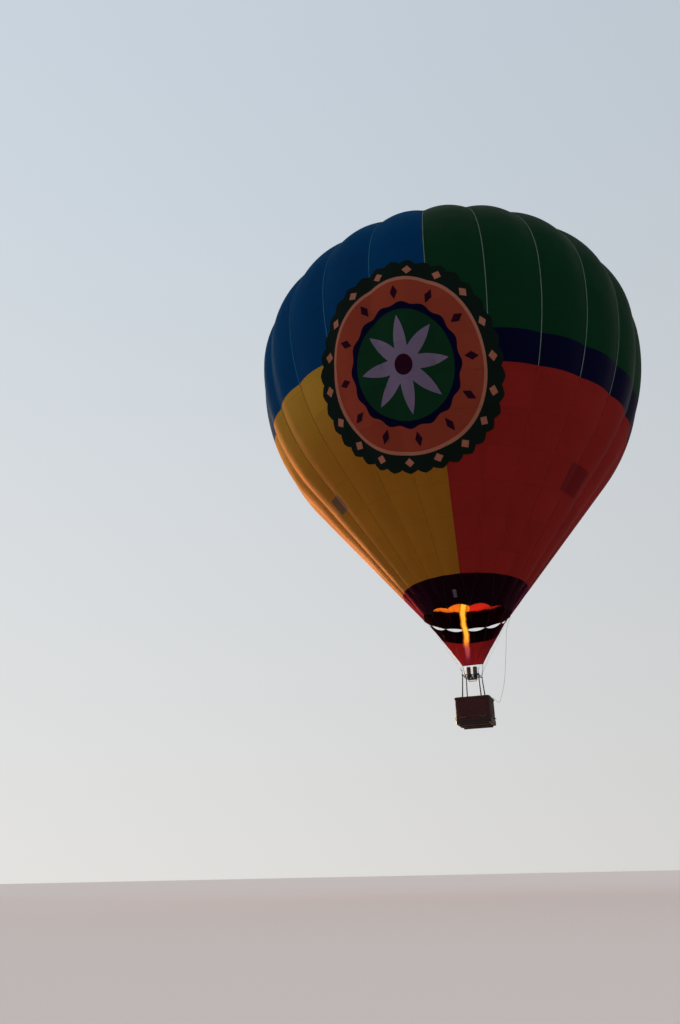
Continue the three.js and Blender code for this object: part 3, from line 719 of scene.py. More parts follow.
OPENING_LEVEL = crown_level(OPENING_RADIUS)
FRONT_EDGE = GORE_PHASE
BACK_EDGE = GORE_PHASE + 180
LEFT = np.linspace(BACK_EDGE, FRONT_EDGE + 360, SKIN_COLUMNS)
RIGHT = np.linspace(FRONT_EDGE, BACK_EDGE, SKIN_COLUMNS)
ROUND = np.arange(0, 360, 1.5)
blue_panels = skin_piece("blue_panels", LEFT, OPENING_LEVEL, LEFT_EDGE, "blue_fabric", "blue_upper_panels")
green_panels = skin_piece("green_panels", RIGHT, OPENING_LEVEL, RIGHT_EDGE, "green_fabric",
                          "green_upper_panels")
navy_panels = skin_piece("navy_panels", RIGHT, RIGHT_EDGE, NAVY_BOTTOM, "navy_fabric", "navy_band")
yellow_panels = skin_piece("yellow_panels", LEFT, LEFT_EDGE, BAND_TOP, "yellow_fabric", "yellow_lower_panels")
red_panels = skin_piece("red_panels", RIGHT, NAVY_BOTTOM, BAND_TOP, "red_fabric", "red_lower_panels")
mouth_cloth = skin_piece("mouth_cloth", ROUND, BAND_TOP, scallop(ROUND), "black_fabric", "mouth_band", True)


# Tapes

def tape_lifts(lift):
    """A tape's edges sink into the cloth, and its middle stands up a little."""
    return np.array([-SKIN_SINK, lift, lift + 0.002, lift, -SKIN_SINK])


def tape_strip(azimuth, top, bottom, width=TAPE_WIDTH, lift=0.004, fill=0.03, drift=0.0):
    """A sewn tape in a valley between two gores; drift is how far it turns on its way down."""
    first, last = down_at(top), down_at(bottom)
    share = np.linspace(0, 1, max(3, math.ceil((last - first) / TAPE_ROW)))[:, None]
    levels = level_at(first + share * (last - first))
    turn = np.degrees(np.array([-1, -0.98, 0, 0.98, 1]) * width / 2 / tape_radius(levels)) + drift * share
    return net(skin(levels, azimuth + turn, tape_lifts(lift), fill))


def band_strip(azimuth):
    """A tape over the mouth band, which meets its neighbour at a wire."""
    wire = WIRE_PHASE + WIRE_ANGLE * round((azimuth - WIRE_PHASE) / WIRE_ANGLE)
    drift = 0.9 * (wire - azimuth)
    return tape_strip(azimuth, BAND_TOP, MOUTH_LEVEL + 0.06, BAND_TAPE_WIDTH, 0.005, 0.0, drift)


def hem_strip(edge, drop, rise):
    """A narrow band all round an edge of the skin, from drop below it to rise above it."""
    offsets = np.array([rise, rise - 0.003, 0.0, -drop + 0.003, -drop])[:, None]
    return net(skin(edge + offsets, ROUND, tape_lifts(0.005)[:, None], 0.02), True)


def tapes(name, azimuths, top, bottom, look):
    return piece(name, [tape_strip(a, top, bottom) for a in azimuths], look, sheet=True)


GORE_ANGLES = [GORE_PHASE + index * GORE for index in range(GORES)]
left_angles = [a for a in GORE_ANGLES if a > BACK_EDGE]
right_angles = [a for a in GORE_ANGLES if FRONT_EDGE < a < BACK_EDGE]
blue_tapes = tapes("blue_tapes", left_angles, OPENING_LEVEL, LEFT_EDGE, "blue_tape")
green_tapes = tapes("green_tapes", right_angles + [FRONT_EDGE, BACK_EDGE], OPENING_LEVEL, NAVY_BOTTOM,
                    "pale_tape")
yellow_tapes = tapes("yellow_tapes", left_angles, LEFT_EDGE, BAND_TOP, "yellow_tape")
red_tapes = tapes("red_tapes", right_angles + [BACK_EDGE], NAVY_BOTTOM, BAND_TOP, "red_tape")
band_tapes = piece("band_tapes", [band_strip(a) for a in GORE_ANGLES], "band_tape", sheet=True)
rim_tape = piece("mouth_rim_tape", [hem_strip(scallop(ROUND), 0.0, 0.035)], "band_tape", sheet=True)
opening_tape = piece("opening_tape", [hem_strip(OPENING_LEVEL, 0.03, 0.03)], "pale_tape", sheet=True)

# Medallion: a sewn roundel of plain rings, lozenges and a star

MEDAL_AZIMUTH = -1.0
MEDAL_LEVEL = -4.35
MEDAL_HEIGHT = 1.13         # of its width
MEDAL_CENTRE = 0.36
MEDAL_STAR_FOOT = 0.66
MEDAL_STAR = 1.76
MEDAL_FIELD = 1.96
MEDAL_NAVY = 2.20
MEDAL_ORANGE = 3.08
MEDAL_PINK = 3.21
MEDAL_DARK = 3.74


def medal_patch(x, y, lift):
    """A part on the skin for flat places of the medallion, x to the right and y up, and where it lies."""
    levels = level_at(down_at(MEDAL_LEVEL) - MEDAL_HEIGHT * y)
    azimuths = MEDAL_AZIMUTH + np.degrees(x / tape_radius(levels))
    return net(skin(levels, azimuths, lift, 0.05)), levels.ravel(), azimuths.ravel()


def medal_ring(inner, outer, lift, across, along):
    """A patch round the middle; inner and outer are each a radius, or a function of the angle."""
    angle = np.linspace(0, 2 * math.pi, along)
    low, high = [edge(angle) if callable(edge) else np.full(along, edge) for edge in (inner, outer)]
    radius = low + np.linspace(1, 0, across)[:, None] * (high - low)
    return medal_patch(radius * np.sin(angle), radius * np.cos(angle), lift)


def lozenges(count, radius, length, width, shift=0.0):
    u, v = np.meshgrid(np.linspace(-1, 1, 9), np.linspace(-1, 1, 9))
    tall = radius + (v - u) / 2 * length / 2
    wide = (u + v) / 2 * width / 2
    turns = 2 * np.pi * (np.arange(count) + shift) / count
    return [medal_patch(tall * np.sin(a) + wide * np.cos(a), tall * np.cos(a) - wide * np.sin(a), 0.014)
            for a in turns]


def spikes(angle, count):
    return np.abs(((angle * count / (2 * np.pi)) % 1) * 2 - 1)


def star_edge(angle):
    return MEDAL_STAR_FOOT + (MEDAL_STAR - MEDAL_STAR_FOOT) * spikes(angle, 8) ** 1.25


def toothed_edge(angle):
    return MEDAL_DARK + 0.15 * spikes(angle, 36) ** 0.7


def waved_edge(angle):
    return MEDAL_NAVY + 0.05 * np.sin(16 * angle)


def medal_piece(name, patches, look):
    parts, levels, azimuths = zip(*patches)
    made = piece(f"medallion_{name}", parts, look, sheet=True)
    cloth_data(made, np.concatenate(levels), np.concatenate(azimuths) % 360)


for name, *shape, look in (("field", 0.0, MEDAL_FIELD, 0.004, 20, 145, "deep_green_applique"),
                           ("navy_ring", MEDAL_FIELD, waved_edge, 0.006, 4, 257, "navy_fabric"),
                           ("orange_ring", waved_edge, MEDAL_ORANGE, 0.004, 11, 257, "orange_applique"),
                           ("pink_ring", MEDAL_ORANGE, MEDAL_PINK, 0.006, 3, 241, "pink_applique"),
                           ("toothed_ring", MEDAL_PINK, toothed_edge, 0.004, 8, 433, "dark_green_applique"),
                           ("star", 0.0, star_edge, 0.014, 18, 193, "lilac_applique")):
    medal_piece(name, [medal_ring(*shape)], look)
medal_piece("centre", [medal_ring(0.0, MEDAL_CENTRE, 0.022, 6, 49)]
            + lozenges(12, (MEDAL_NAVY + MEDAL_ORANGE) / 2, 0.56, 0.30), "maroon_applique")
medal_piece("lozenges", lozenges(18, (MEDAL_PINK + MEDAL_DARK) / 2, 0.34, 0.40, 0.5), "pink_applique")

# Blank patches: one on the mouth band and one low on each side

for name, azimuth, level, width, height, columns, rows, look in (
        ("blank_patch", -0.4, -12.06, 0.15, 0.28, 5, 7, "blank_patch"),
        ("blank_sign_left", -53.0, -7.7, 0.75, 0.62, 11, 9, "ochre_applique"),
        ("blank_sign_right", 69.0, -7.7, 1.25, 1.0, 15, 11, "wine_applique")):
    levels = level + np.linspace(height / 2, -height / 2, rows)[:, None]
    across = np.degrees(np.linspace(-width / 2, width / 2, columns) / tape_radius(level))
    piece(name, [net(skin(levels, azimuth + across, 0.006, 0.03))], look, sheet=True)


# Parachute valve and crown

def valve_half(name, azimuth, look, node=None):
    """Half of the valve, drawn down between the tapes, from its middle outwards."""
    radii = np.linspace(0.02, VALVE_RADIUS, 22)[:, None]
    height = crown_level(radii) - VALVE_DEPTH
    share = share_between(azimuth, GORE_PHASE, GORE)
    dip = VALVE_DIP * (np.sin(np.pi * radii / VALVE_RADIUS) * np.sin(np.pi * share) - 1) * (radii > 0.3)
    made = piece(name, [net(polar(azimuth, radii, height + dip))], look, node, "parachute", sheet=True)
    cloth_data(made, height, azimuth)


valve_half("parachute_blue", LEFT[::2], "blue_fabric", "parachute_valve")
valve_half("parachute_green", RIGHT[::2], "green_fabric")

CROWN_RING = 0.15
CROWN_RING_LEVEL = CROWN_HEIGHT + 0.012
piece("crown_ring_bar", [ring(CROWN_RING, 0.012, (0, 0, CROWN_RING_LEVEL), turns=64, sides=14)],
      "crown_alloy", "crown_ring")


def crown_tape(azimuth):
    radii = np.linspace(CROWN_RING + 0.01, OPENING_RADIUS + 0.06, 14)
    rows = [np.stack([np.full(14, side), -radii, crown_level(radii) + lift], 1)
            for side, lift in ((-0.02, 0.009), (-0.019, 0.013), (0.0, 0.014), (0.019, 0.013), (0.02, 0.009))]
    return net(turned(np.stack(rows, 1), azimuth))


def crown_loop(azimuth):
    """The end of a crown tape, sewn back round the ring."""
    angle = full_turn(12)
    rows = [np.stack([np.full(12, side), 0.019 * np.cos(angle) - CROWN_RING,
                      CROWN_RING_LEVEL + 0.016 * np.sin(angle)], 1) for side in (-0.018, 0.018)]
    return net(turned(np.stack(rows), azimuth), True)


piece("crown_tapes", [crown_tape(a) for a in GORE_ANGLES] + [crown_loop(a) for a in GORE_ANGLES], "pale_tape",
      sheet=True)


# Scoop

def scoop_net(down, lift=0.0):
    """The scoop's cloth, with a row of points across it at each share of its way down."""
    down = down[:, None]
    share = np.linspace(0, 1, SCOOP_COLUMNS)
    turn = SCOOP_FIRST_AZIMUTH + SCOOP_SPAN * share
    wave = np.sin(np.pi * share_between(turn, WIRE_PHASE, WIRE_ANGLE))
    peak = SCOOP_PEAK * (1 - wave) ** 2
    top = polar(turn, SCOOP_TOP_RADIUS + peak, SCOOP_TOP_LEVEL)
    bottom = np.stack([SCOOP_BOTTOM_HALF_WIDTH * (1 - 2 * share), np.full_like(share, SCOOP_BOTTOM_Y),
                       np.full_like(share, SCOOP_BOTTOM_LEVEL)], -1)
    points = top + down[..., None] * (bottom - top)
    points[..., 2] += (peak - SCOOP_SAG * wave) * (1 - down) ** 4
    folds = SCOOP_FOLD * np.sin(46 * share + 2.0 * down) * down * (1 - share) * share * 4
    billow = SCOOP_BILLOW * np.sin(np.pi * down) * np.sin(np.pi * share) + folds - 0.005 + lift
    return net(points + polar(turn, billow, 0.0))


def scoop_hem(down, width):
    offsets = np.array([0.0, 0.001, width / 2, width - 0.001, width])
    return scoop_net(down - width / 2 + offsets, np.array([0.0, 0.007, 0.009, 0.007, 0.0])[:, None])


scoop_black = piece("scoop_black", [scoop_net(np.linspace(0.0, SCOOP_BLACK_SHARE, 18))], "black_fabric",
                    "scoop_black_strip", sheet=True)
scoop_red = piece("scoop_red", [scoop_net(np.linspace(SCOOP_BLACK_SHARE, 1.0, 30))], "scoop_red_fabric",
                  "scoop_red_panel", sheet=True)
scoop_hems = piece("scoop_hems", [scoop_hem(0.01, 0.02), scoop_hem(SCOOP_BLACK_SHARE, 0.014),
                                  scoop_hem(0.988, 0.024)], "band_tape", sheet=True)


# Flying wires, their ends at the mouth, hooks and scoop straps

def oval_link(height, width, thickness, centre, normal):
    """A snap hook's body: a stadium-shaped loop."""
    half = height / 2 - width / 2
    arc = np.linspace(0, np.pi, 13)
    top = np.stack([width / 2 * np.cos(arc), half + width / 2 * np.sin(arc)], 1)
    side = Vector((0, 0, 1)).cross(Vector(normal)).normalized()
    return tube(centre + np.concatenate([top, -top]) @ np.array([side, (0, 0, 1)]), thickness, 10, True)


mouth_radius = tape_radius(MOUTH_LEVEL) - 0.005
for name, side_x, side_y, first in CORNERS:
    x, y = side_x * FRAME_HALF_X, side_y * FRAME_HALF_Y
    hook_top = np.array([x, y, HOOK_BOTTOM + HOOK_HEIGHT - 0.008])
    parts = [oval_link(0.104, 0.04, 0.006, (x, y, HOOK_BOTTOM + 0.055), (1, 0, 0)),
             post((x, y + 0.02), HOOK_BOTTOM + 0.035, HOOK_BOTTOM + 0.075, 0.0085, 12)]
    for azimuth in (first, first + WIRE_ANGLE, first + 2 * WIRE_ANGLE):
        end = polar(azimuth, mouth_radius, MOUTH_LEVEL - 0.008)
        along = unit(end - hook_top)
        parts += [rod(hook_top + along * 0.012, end - along * 0.03, WIRE_RADIUS, 8),
                  rod(hook_top + along * 0.05, hook_top + along * 0.11, 0.0062),
                  rod(end - along * 0.12, end - along * 0.05, 0.0062),
                  ring(0.017, 0.0035, end - along * 0.022, polar(azimuth + 90, 1, 0), 18)]
    piece(f"wires_{name}", parts, "steel_wire", f"flying_wires_{name}")


def mouth_tab(azimuth):
    """A loop of webbing that carries a wire's ring at the mouth's rim."""
    turn = np.degrees(np.array([-1, 1]) * 0.014 / mouth_radius)
    drops = np.array([0.09, 0.05, 0.0, -0.018, -0.018, 0.0, 0.05])[:, None]
    lifts = np.array([0.009, 0.009, 0.008, 0.002, -0.010, -0.016, -0.014])[:, None]
    return net(skin(MOUTH_LEVEL + drops, azimuth + turn, lifts))


def scoop_tab(azimuth):
    """A short strap that hangs the scoop's top edge from the mouth."""
    reach = [mouth_radius - 0.012, mouth_radius - 0.03, SCOOP_TOP_RADIUS + 0.006, SCOOP_TOP_RADIUS - 0.01]
    level = [MOUTH_LEVEL + 0.06, MOUTH_LEVEL, SCOOP_TOP_LEVEL - 0.01, SCOOP_TOP_LEVEL - 0.08]
    path = polar(azimuth, np.array(reach), level)
    side = polar(azimuth + 90, 0.012, 0)
    return net(np.stack([path - side, path + side], 1))


wire_angles = [WIRE_PHASE + index * WIRE_ANGLE for index in range(12)]
piece("mouth_tabs", [mouth_tab(a) for a in wire_angles] + [scoop_tab(a) for a in wire_angles[3:9]], "webbing",
      sheet=True)

for name, side in (("right", 1), ("left", -1)):
    start = (side * (SCOOP_BOTTOM_HALF_WIDTH - 0.012), SCOOP_BOTTOM_Y - 0.014, SCOOP_BOTTOM_LEVEL - 0.006)
    end = (side * (FRAME_HALF_X + 0.032), FRAME_HALF_Y - 0.023, HOOK_BOTTOM + HOOK_HEIGHT / 3)
    path = np.linspace(start, end, 12)
    section = 0.0025 * np.array([(3, 1, 0), (3, -1, 0), (-3, -1, 0), (-3, 1, 0)])
    piece(f"strap_{name}", [net(path[:, None] + section, True)], "webbing", f"scoop_strap_{name}")
    piece(f"strap_buckle_{name}", [block((0.024, 0.009, 0.03), path[7], 0.002),
                                   ring(0.012, 0.0025, path[0], (0, 1, 0), 16)], "steel_wire")


# Burner: cans, coils, valve block, levers and hand bar

def profile(radius, level, steps):
    """Pairs of radius and height for a turned shape, from steps out and up."""
    return [(radius + out, level + up) for out, up in steps]


CAN_PROFILE = profile(CAN_RADIUS, CAN_TOP, (
    (-0.0035, 0.0), (-0.001, 0.0), (0.0, -0.004), (-0.002, -0.010), (-0.003, -0.016), (-0.003, -0.30),
    (-0.001, -0.305), (-0.001, -0.318), (-0.003, -0.323))) + profile(CAN_RADIUS, CAN_BOTTOM, (
        (-0.003, 0.012), (-0.010, 0.001), (-0.05, 0.001), (-0.05, 0.004), (-0.013, 0.004), (-0.0065, 0.016)))


def circle_spots(x, radius, count):
    """Turns and places round the middle of a can."""
    return [(turn, x + radius * math.cos(turn), radius * math.sin(turn)) for turn in full_turn(count)]


COIL_TURNS = 10
COIL_BOTTOM_RADIUS = 0.0745
COIL_TOP_RADIUS = 0.0585
JET_RING = 0.036


def coil(x):
    """A can's coil: a helix, its way down the middle and a ring of jets."""
    share = np.linspace(0, 1, 30 * COIL_TURNS)
    turn = 2 * np.pi * COIL_TURNS * share
    radius = COIL_BOTTOM_RADIUS + share * (COIL_TOP_RADIUS - COIL_BOTTOM_RADIUS)
    level = CAN_BOTTOM + 0.046 + share * (CAN_TOP - CAN_BOTTOM - 0.082)
    feed = smooth_path([(x + COIL_TOP_RADIUS, 0, CAN_TOP - 0.036), (x + 0.044, 0, CAN_TOP - 0.05),
                        (x + JET_RING, 0, CAN_TOP - 0.16), (x + JET_RING, 0, CAN_BOTTOM + 0.05)], 0.012)
    jets = [post(spot, CAN_BOTTOM + 0.045, CAN_BOTTOM + 0.062, 0.0035, 8)
            for _, *spot in circle_spots(x, JET_RING, 12)]
    return [tube(spun(turn, radius, level) + (x, 0, 0), 0.0062), tube(feed, 0.0055),
            ring(JET_RING, 0.007, (x, 0, CAN_BOTTOM + 0.045), turns=32, sides=10)] + jets


for name, side in (("left", -1), ("right", 1)):
    x = side * CAN_X
    louvres = [block((0.005, 0.016, 0.028), (*spot, CAN_BOTTOM + 0.05), 0.0018, Matrix.Rotation(turn, 4, "Z"))
               for turn, *spot in circle_spots(x, CAN_RADIUS - 0.0035, 16)]
    piece(f"can_{name}", [lathe(CAN_PROFILE, 48, (x, 0, 0), True)] + louvres, "burner_steel",
          f"burner_can_{name}", "burner")
    piece(f"coil_{name}", coil(x), "coil_steel", f"burner_coil_{name}", "burner")
    stem = rod((x, -0.066, BLOCK_BOTTOM + 0.07), (x, -0.125, BLOCK_BOTTOM + 0.07), 0.012, 16)
    grip = smooth_path([(x, y, BLOCK_BOTTOM + up) for y, up in
                        ((-0.112, 0.068), (-0.15, 0.066), (-0.19, 0.063), (-0.222, 0.060))], 0.006)
    radius = np.interp(np.linspace(0, 1, len(grip)), [0, 0.3, 0.9, 1], [0.0045, 0.0058, 0.0068, 0.005])
    piece(f"lever_{name}", [stem, tube(grip, radius, 14)], "lever_red", f"blast_lever_{name}", "burner")
    for part, near, far, radius, look in (("gauge", -0.066, -0.082, 0.024, "valve_brass"),
                                          ("gauge_dial", -0.0815, -0.0832, 0.021, "blank_dial")):
        ends = [(side * 0.062, y, BLOCK_BOTTOM + 0.06) for y in (near, far)]
        piece(f"{part}_{name}", [rod(*ends, radius, 28)], look, body="burner")

middle = (BLOCK_TOP + BLOCK_BOTTOM) / 2
parts = [block((0.398, 0.128, BLOCK_TOP - BLOCK_BOTTOM - 0.002), (0, 0, middle), 0.008),
         block((0.021, 0.298, 0.098), (0, 0, FRAME_LEVEL - 0.036), 0.005),
         rod((0, -0.212, FRAME_LEVEL), (0, 0.212, FRAME_LEVEL), 0.0078, 20)]
for side in (-1, 1):
    for y in (-0.045, 0.045):
        parts.append(post((side * 0.18, y), BLOCK_BOTTOM + 0.001, BLOCK_BOTTOM - 0.007, 0.009, 6))
    parts += [rod((side * 0.199, 0, BLOCK_BOTTOM + 0.05), (side * 0.204, 0, BLOCK_BOTTOM + 0.05), 0.018, 6),
              post((side * CAN_X, 0), BLOCK_TOP - 0.003, CAN_BOTTOM + 0.006, 0.028, 24)]
piece("valve_block", parts, "burner_steel", "burner_block", "burner")

BAR_LEVEL = BLOCK_BOTTOM - 0.06
half_bar = [(0.158, 0, BLOCK_BOTTOM - 0.001), (0.158, 0, BAR_LEVEL + 0.03), (0.154, 0, BAR_LEVEL + 0.008),
            (0.135, 0, BAR_LEVEL)]
bar_path = smooth_path([(-x, y, z) for x, y, z in half_bar] + [(0, 0, BAR_LEVEL)] + half_bar[::-1], 0.008)
piece("burner_hand_bar", [tube(bar_path, 0.0115, 16)], "grip_black", "hand_bar", "burner")

# The flame leaves the left can: levels, places in x and radii from its foot to its tip
FLAME = ((-14.80, -0.137, 0.060), (-14.62, -0.137, 0.090), (-14.20, -0.122, 0.115), (-13.92, -0.112, 0.125),
         (-13.66, -0.136, 0.138), (-13.39, -0.120, 0.138), (-13.12, -0.127, 0.136), (-12.85, -0.172, 0.132),
         (-12.58, -0.190, 0.128), (-12.31, -0.205, 0.140), (-12.10, -0.150, 0.165), (-11.90, -0.100, 0.165),
         (-11.70, -0.070, 0.120), (-11.55, -0.060, 0.020))
FLAME_ROWS = 72
FLAME_SIDES = 28
CORE_SHARE = 0.64
flame_levels, _, flame_radii = np.array(FLAME).T
flame_height = np.linspace(flame_levels[0], flame_levels[-1], FLAME_ROWS)
line_x, line_y, line_z = smooth_path([(x, 0.02 * math.sin(5 * z), z) for z, x, _ in FLAME], 0.01).T
flame_path = np.stack([np.interp(flame_height, line_z, line_x), np.interp(flame_height, line_z, line_y),
                       flame_height], 1)
flame_verts, flame_faces = tube(flame_path, np.interp(flame_height, flame_levels, flame_radii), FLAME_SIDES)
flame_turn = full_turn(FLAME_SIDES)
flicker = (1 + 0.12 * np.sin(3 * flame_turn + 7 * flame_height[:, None])
           + 0.07 * np.sin(5 * flame_turn - 19 * flame_height[:, None]))
flame_spokes = (flame_verts.reshape(FLAME_ROWS, FLAME_SIDES, 3) - flame_path[:, None]) * flicker[..., None]
for name, share in (("flame_edge", 1.0), ("flame_core", CORE_SHARE)):
    verts = flame_path[:, None] + share * flame_spokes
    piece(name, [(verts.reshape(-1, 3), flame_faces)], name, body="burner")


# Basket

def outline(offset, step):
    """Evenly spaced points of the basket's outline, offset outwards, with their outward directions."""
    points = []
    for cx, cy, start in ((1, -1, -90), (1, 1, 0), (-1, 1, 90), (-1, -1, 180)):
        arc = np.radians(np.linspace(start, start + 90, 16))
        middle = (cx * (BASKET_HALF_X - BASKET_CORNER), cy * (BASKET_HALF_Y - BASKET_CORNER))
        points.append(middle + (BASKET_CORNER + offset) * np.stack([np.cos(arc), np.sin(arc)], 1))
    path = spaced(np.concatenate(points + [points[0][:1]]), step, True)
    along = unit(np.roll(path, -1, 0) - np.roll(path, 1, 0))
    return path, np.stack([along[:, 1], -along[:, 0]], 1)


STAKE_STEP = 0.056
ROW_STEP = 0.0185
STAKE_RADIUS = 0.0055
CANE_OUT = 0.0075
CANE_UP = 0.56 * ROW_STEP
CANE_SWING = 0.0085         # to each side of a stake
CANE_WOBBLE = 0.0012
stakes, _ = outline(-WALL / 2, STAKE_STEP)
cane_path, cane_out = outline(-WALL / 2, STAKE_STEP / 4)
stake_share = np.arange(len(cane_path)) * len(stakes) / len(cane_path)
weave = []
for row in range(int((WALL_TOP - WALL_BOTTOM - 0.02) / ROW_STEP)):
    shift = CANE_SWING * np.cos(np.pi * (stake_share + row % 2))
    level = WALL_BOTTOM + 0.012 + row * ROW_STEP + CANE_WOBBLE * np.sin(stake_share * 0.7 + 5 * row)
    section = [raised(cane_path + cane_out * (shift + out)[:, None], level + up)
               for out, up in ((CANE_OUT, 0.0), (0.0, CANE_UP), (-CANE_OUT, 0.0), (0.0, -CANE_UP))]
    weave.append(net(np.stack(section, 1), True, True))
weave += [post(spot, WALL_BOTTOM + 0.004, WALL_TOP - 0.004, STAKE_RADIUS, 6) for spot in stakes]
piece("basket_weave", weave, "wicker", "basket_walls", angle=180)
core_path, _ = outline(0.0015 - WALL / 2, 0.03)
core = np.stack([raised(core_path, WALL_TOP - 0.006), raised(core_path, WALL_BOTTOM + 0.006)])
piece("basket_core", [net(core, True)], "wicker", sheet=True)

rim_line = raised(outline(-WALL / 2, 0.02)[0], RIM_LEVEL)
swell = 1 + 0.018 * np.sin(40 * full_turn(len(rim_line)))
rim = piece("padded_rim", [tube(rim_line, (RIM_PAD - 0.002) * swell, 20, True)], "rim_leather", "basket_rim")
bands = [tube(np.roll(rim_line, -int(index * len(rim_line) / RIM_BANDS), 0)[:4], RIM_PAD + 0.0015, 20)
         for index in range(RIM_BANDS)]
piece("rim_bands", bands, "hide_leather")
stitches = []
for point, out in zip(*outline(-WALL / 2, 0.017)):
    for away in (-out, out):
        spot = np.array([*(point + away * RIM_PAD * 0.86), RIM_LEVEL - RIM_PAD * 0.55])
        stitches.append(rod(spot, spot + [*(away * 0.004), -0.007], 0.0017, 5))
piece("rim_stitching", stitches, "stitching")

hide_path, hide_out = outline(0.0, 0.03)
ripple = 0.0012 * np.sin(0.9 * np.arange(len(hide_path)))
hide_section = profile(0.0, HIDE_TOP, ((0.0015, -0.001), (0.006, 0.0), (0.0085, -0.004)))
hide_section += profile(0.0, WALL_BOTTOM, ((0.0075, 0.09), (0.0088, 0.012), (0.006, 0.001), (0.0015, 0.001)))
hide = [raised(hide_path + hide_out * (offset + ripple * (offset > 0.006))[:, None], level)
        for offset, level in hide_section]
piece("hide_wrap", [net(np.stack(hide), True, True)], "hide_leather", "basket_hide")
lacing = []
for point, out in zip(*outline(0.009, 0.032)):
    side = 0.008 * np.array([-out[1], out[0]])
    ends = (*(point - side), HIDE_TOP - 0.030), (*(point + side - out * 0.004), HIDE_TOP + 0.006)
    lacing.append(rod(*ends, 0.002, 5))
piece("hide_lacing", lacing, "stitching")

# Three pieces show as the frame has them, in looks of their own
for node, look in (("burner_frame", "frame_steel"), ("gimbal_ring", "frame_steel"),
                   ("basket_floor", "floor_wood")):
    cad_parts[node].data.materials.clear()
    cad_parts[node].data.materials.append(LOOKS[look])

RUNNER_TOP = WALL_BOTTOM - 0.0005
RUNNER_HEIGHT = RUNNER_TOP - GROUND
RUNNERS_Y = (-0.44, 0.0, 0.44)
CROSSINGS_X = (-0.43, 0.43)
runners = [block((1.24, 0.07, RUNNER_HEIGHT), (0, y, GROUND + RUNNER_HEIGHT / 2), 0.008) for y in RUNNERS_Y]
runners += [block((0.07, 1.0, RUNNER_HEIGHT / 2), (x, 0, RUNNER_TOP - RUNNER_HEIGHT / 4), 0.004)
            for x in CROSSINGS_X]
piece("runners", runners, "runner_wood", "basket_runners")
bolts = [post((x, y), GROUND + 0.002, GROUND + 0.010, 0.011, 12) for x in CROSSINGS_X for y in RUNNERS_Y]
piece("runner_bolts", bolts, "steel_wire")

# Rope handles through the wall: how far each point of a handle lies sideways, out and up
HANDLE = ((-0.13, -0.010, 0.0), (-0.13, 0.014, 0.0), (-0.10, 0.042, -0.035), (0.0, 0.050, -0.055),
          (0.10, 0.042, -0.035), (0.13, 0.014, 0.0), (0.13, -0.010, 0.0))
places = [(side * BASKET_HALF_X, y, side, 0) for side in (-1, 1) for y in (-0.32, 0.32)]
places += [(x, side * BASKET_HALF_Y, 0, side) for side in (-1, 1) for x in (-0.42, 0.42)]
handles, collars = [], []
for x, y, out_x, out_y in places:
    base = np.array([x, y, HANDLE_LEVEL])
    axes = np.array([(-out_y, out_x, 0), (out_x, out_y, 0), (0, 0, 1)])
    handles.append(rope(smooth_path(base + np.array(HANDLE) @ axes, 0.006), 0.011, 0.05))
    collars += [ring(0.015, 0.006, base + np.array((across, 0.004, 0)) @ axes, axes[1], 18)
                for across in (-0.13, 0.13)]
piece("rope_handles", handles, "rope")
piece("handle_collars", collars, "hide_leather")

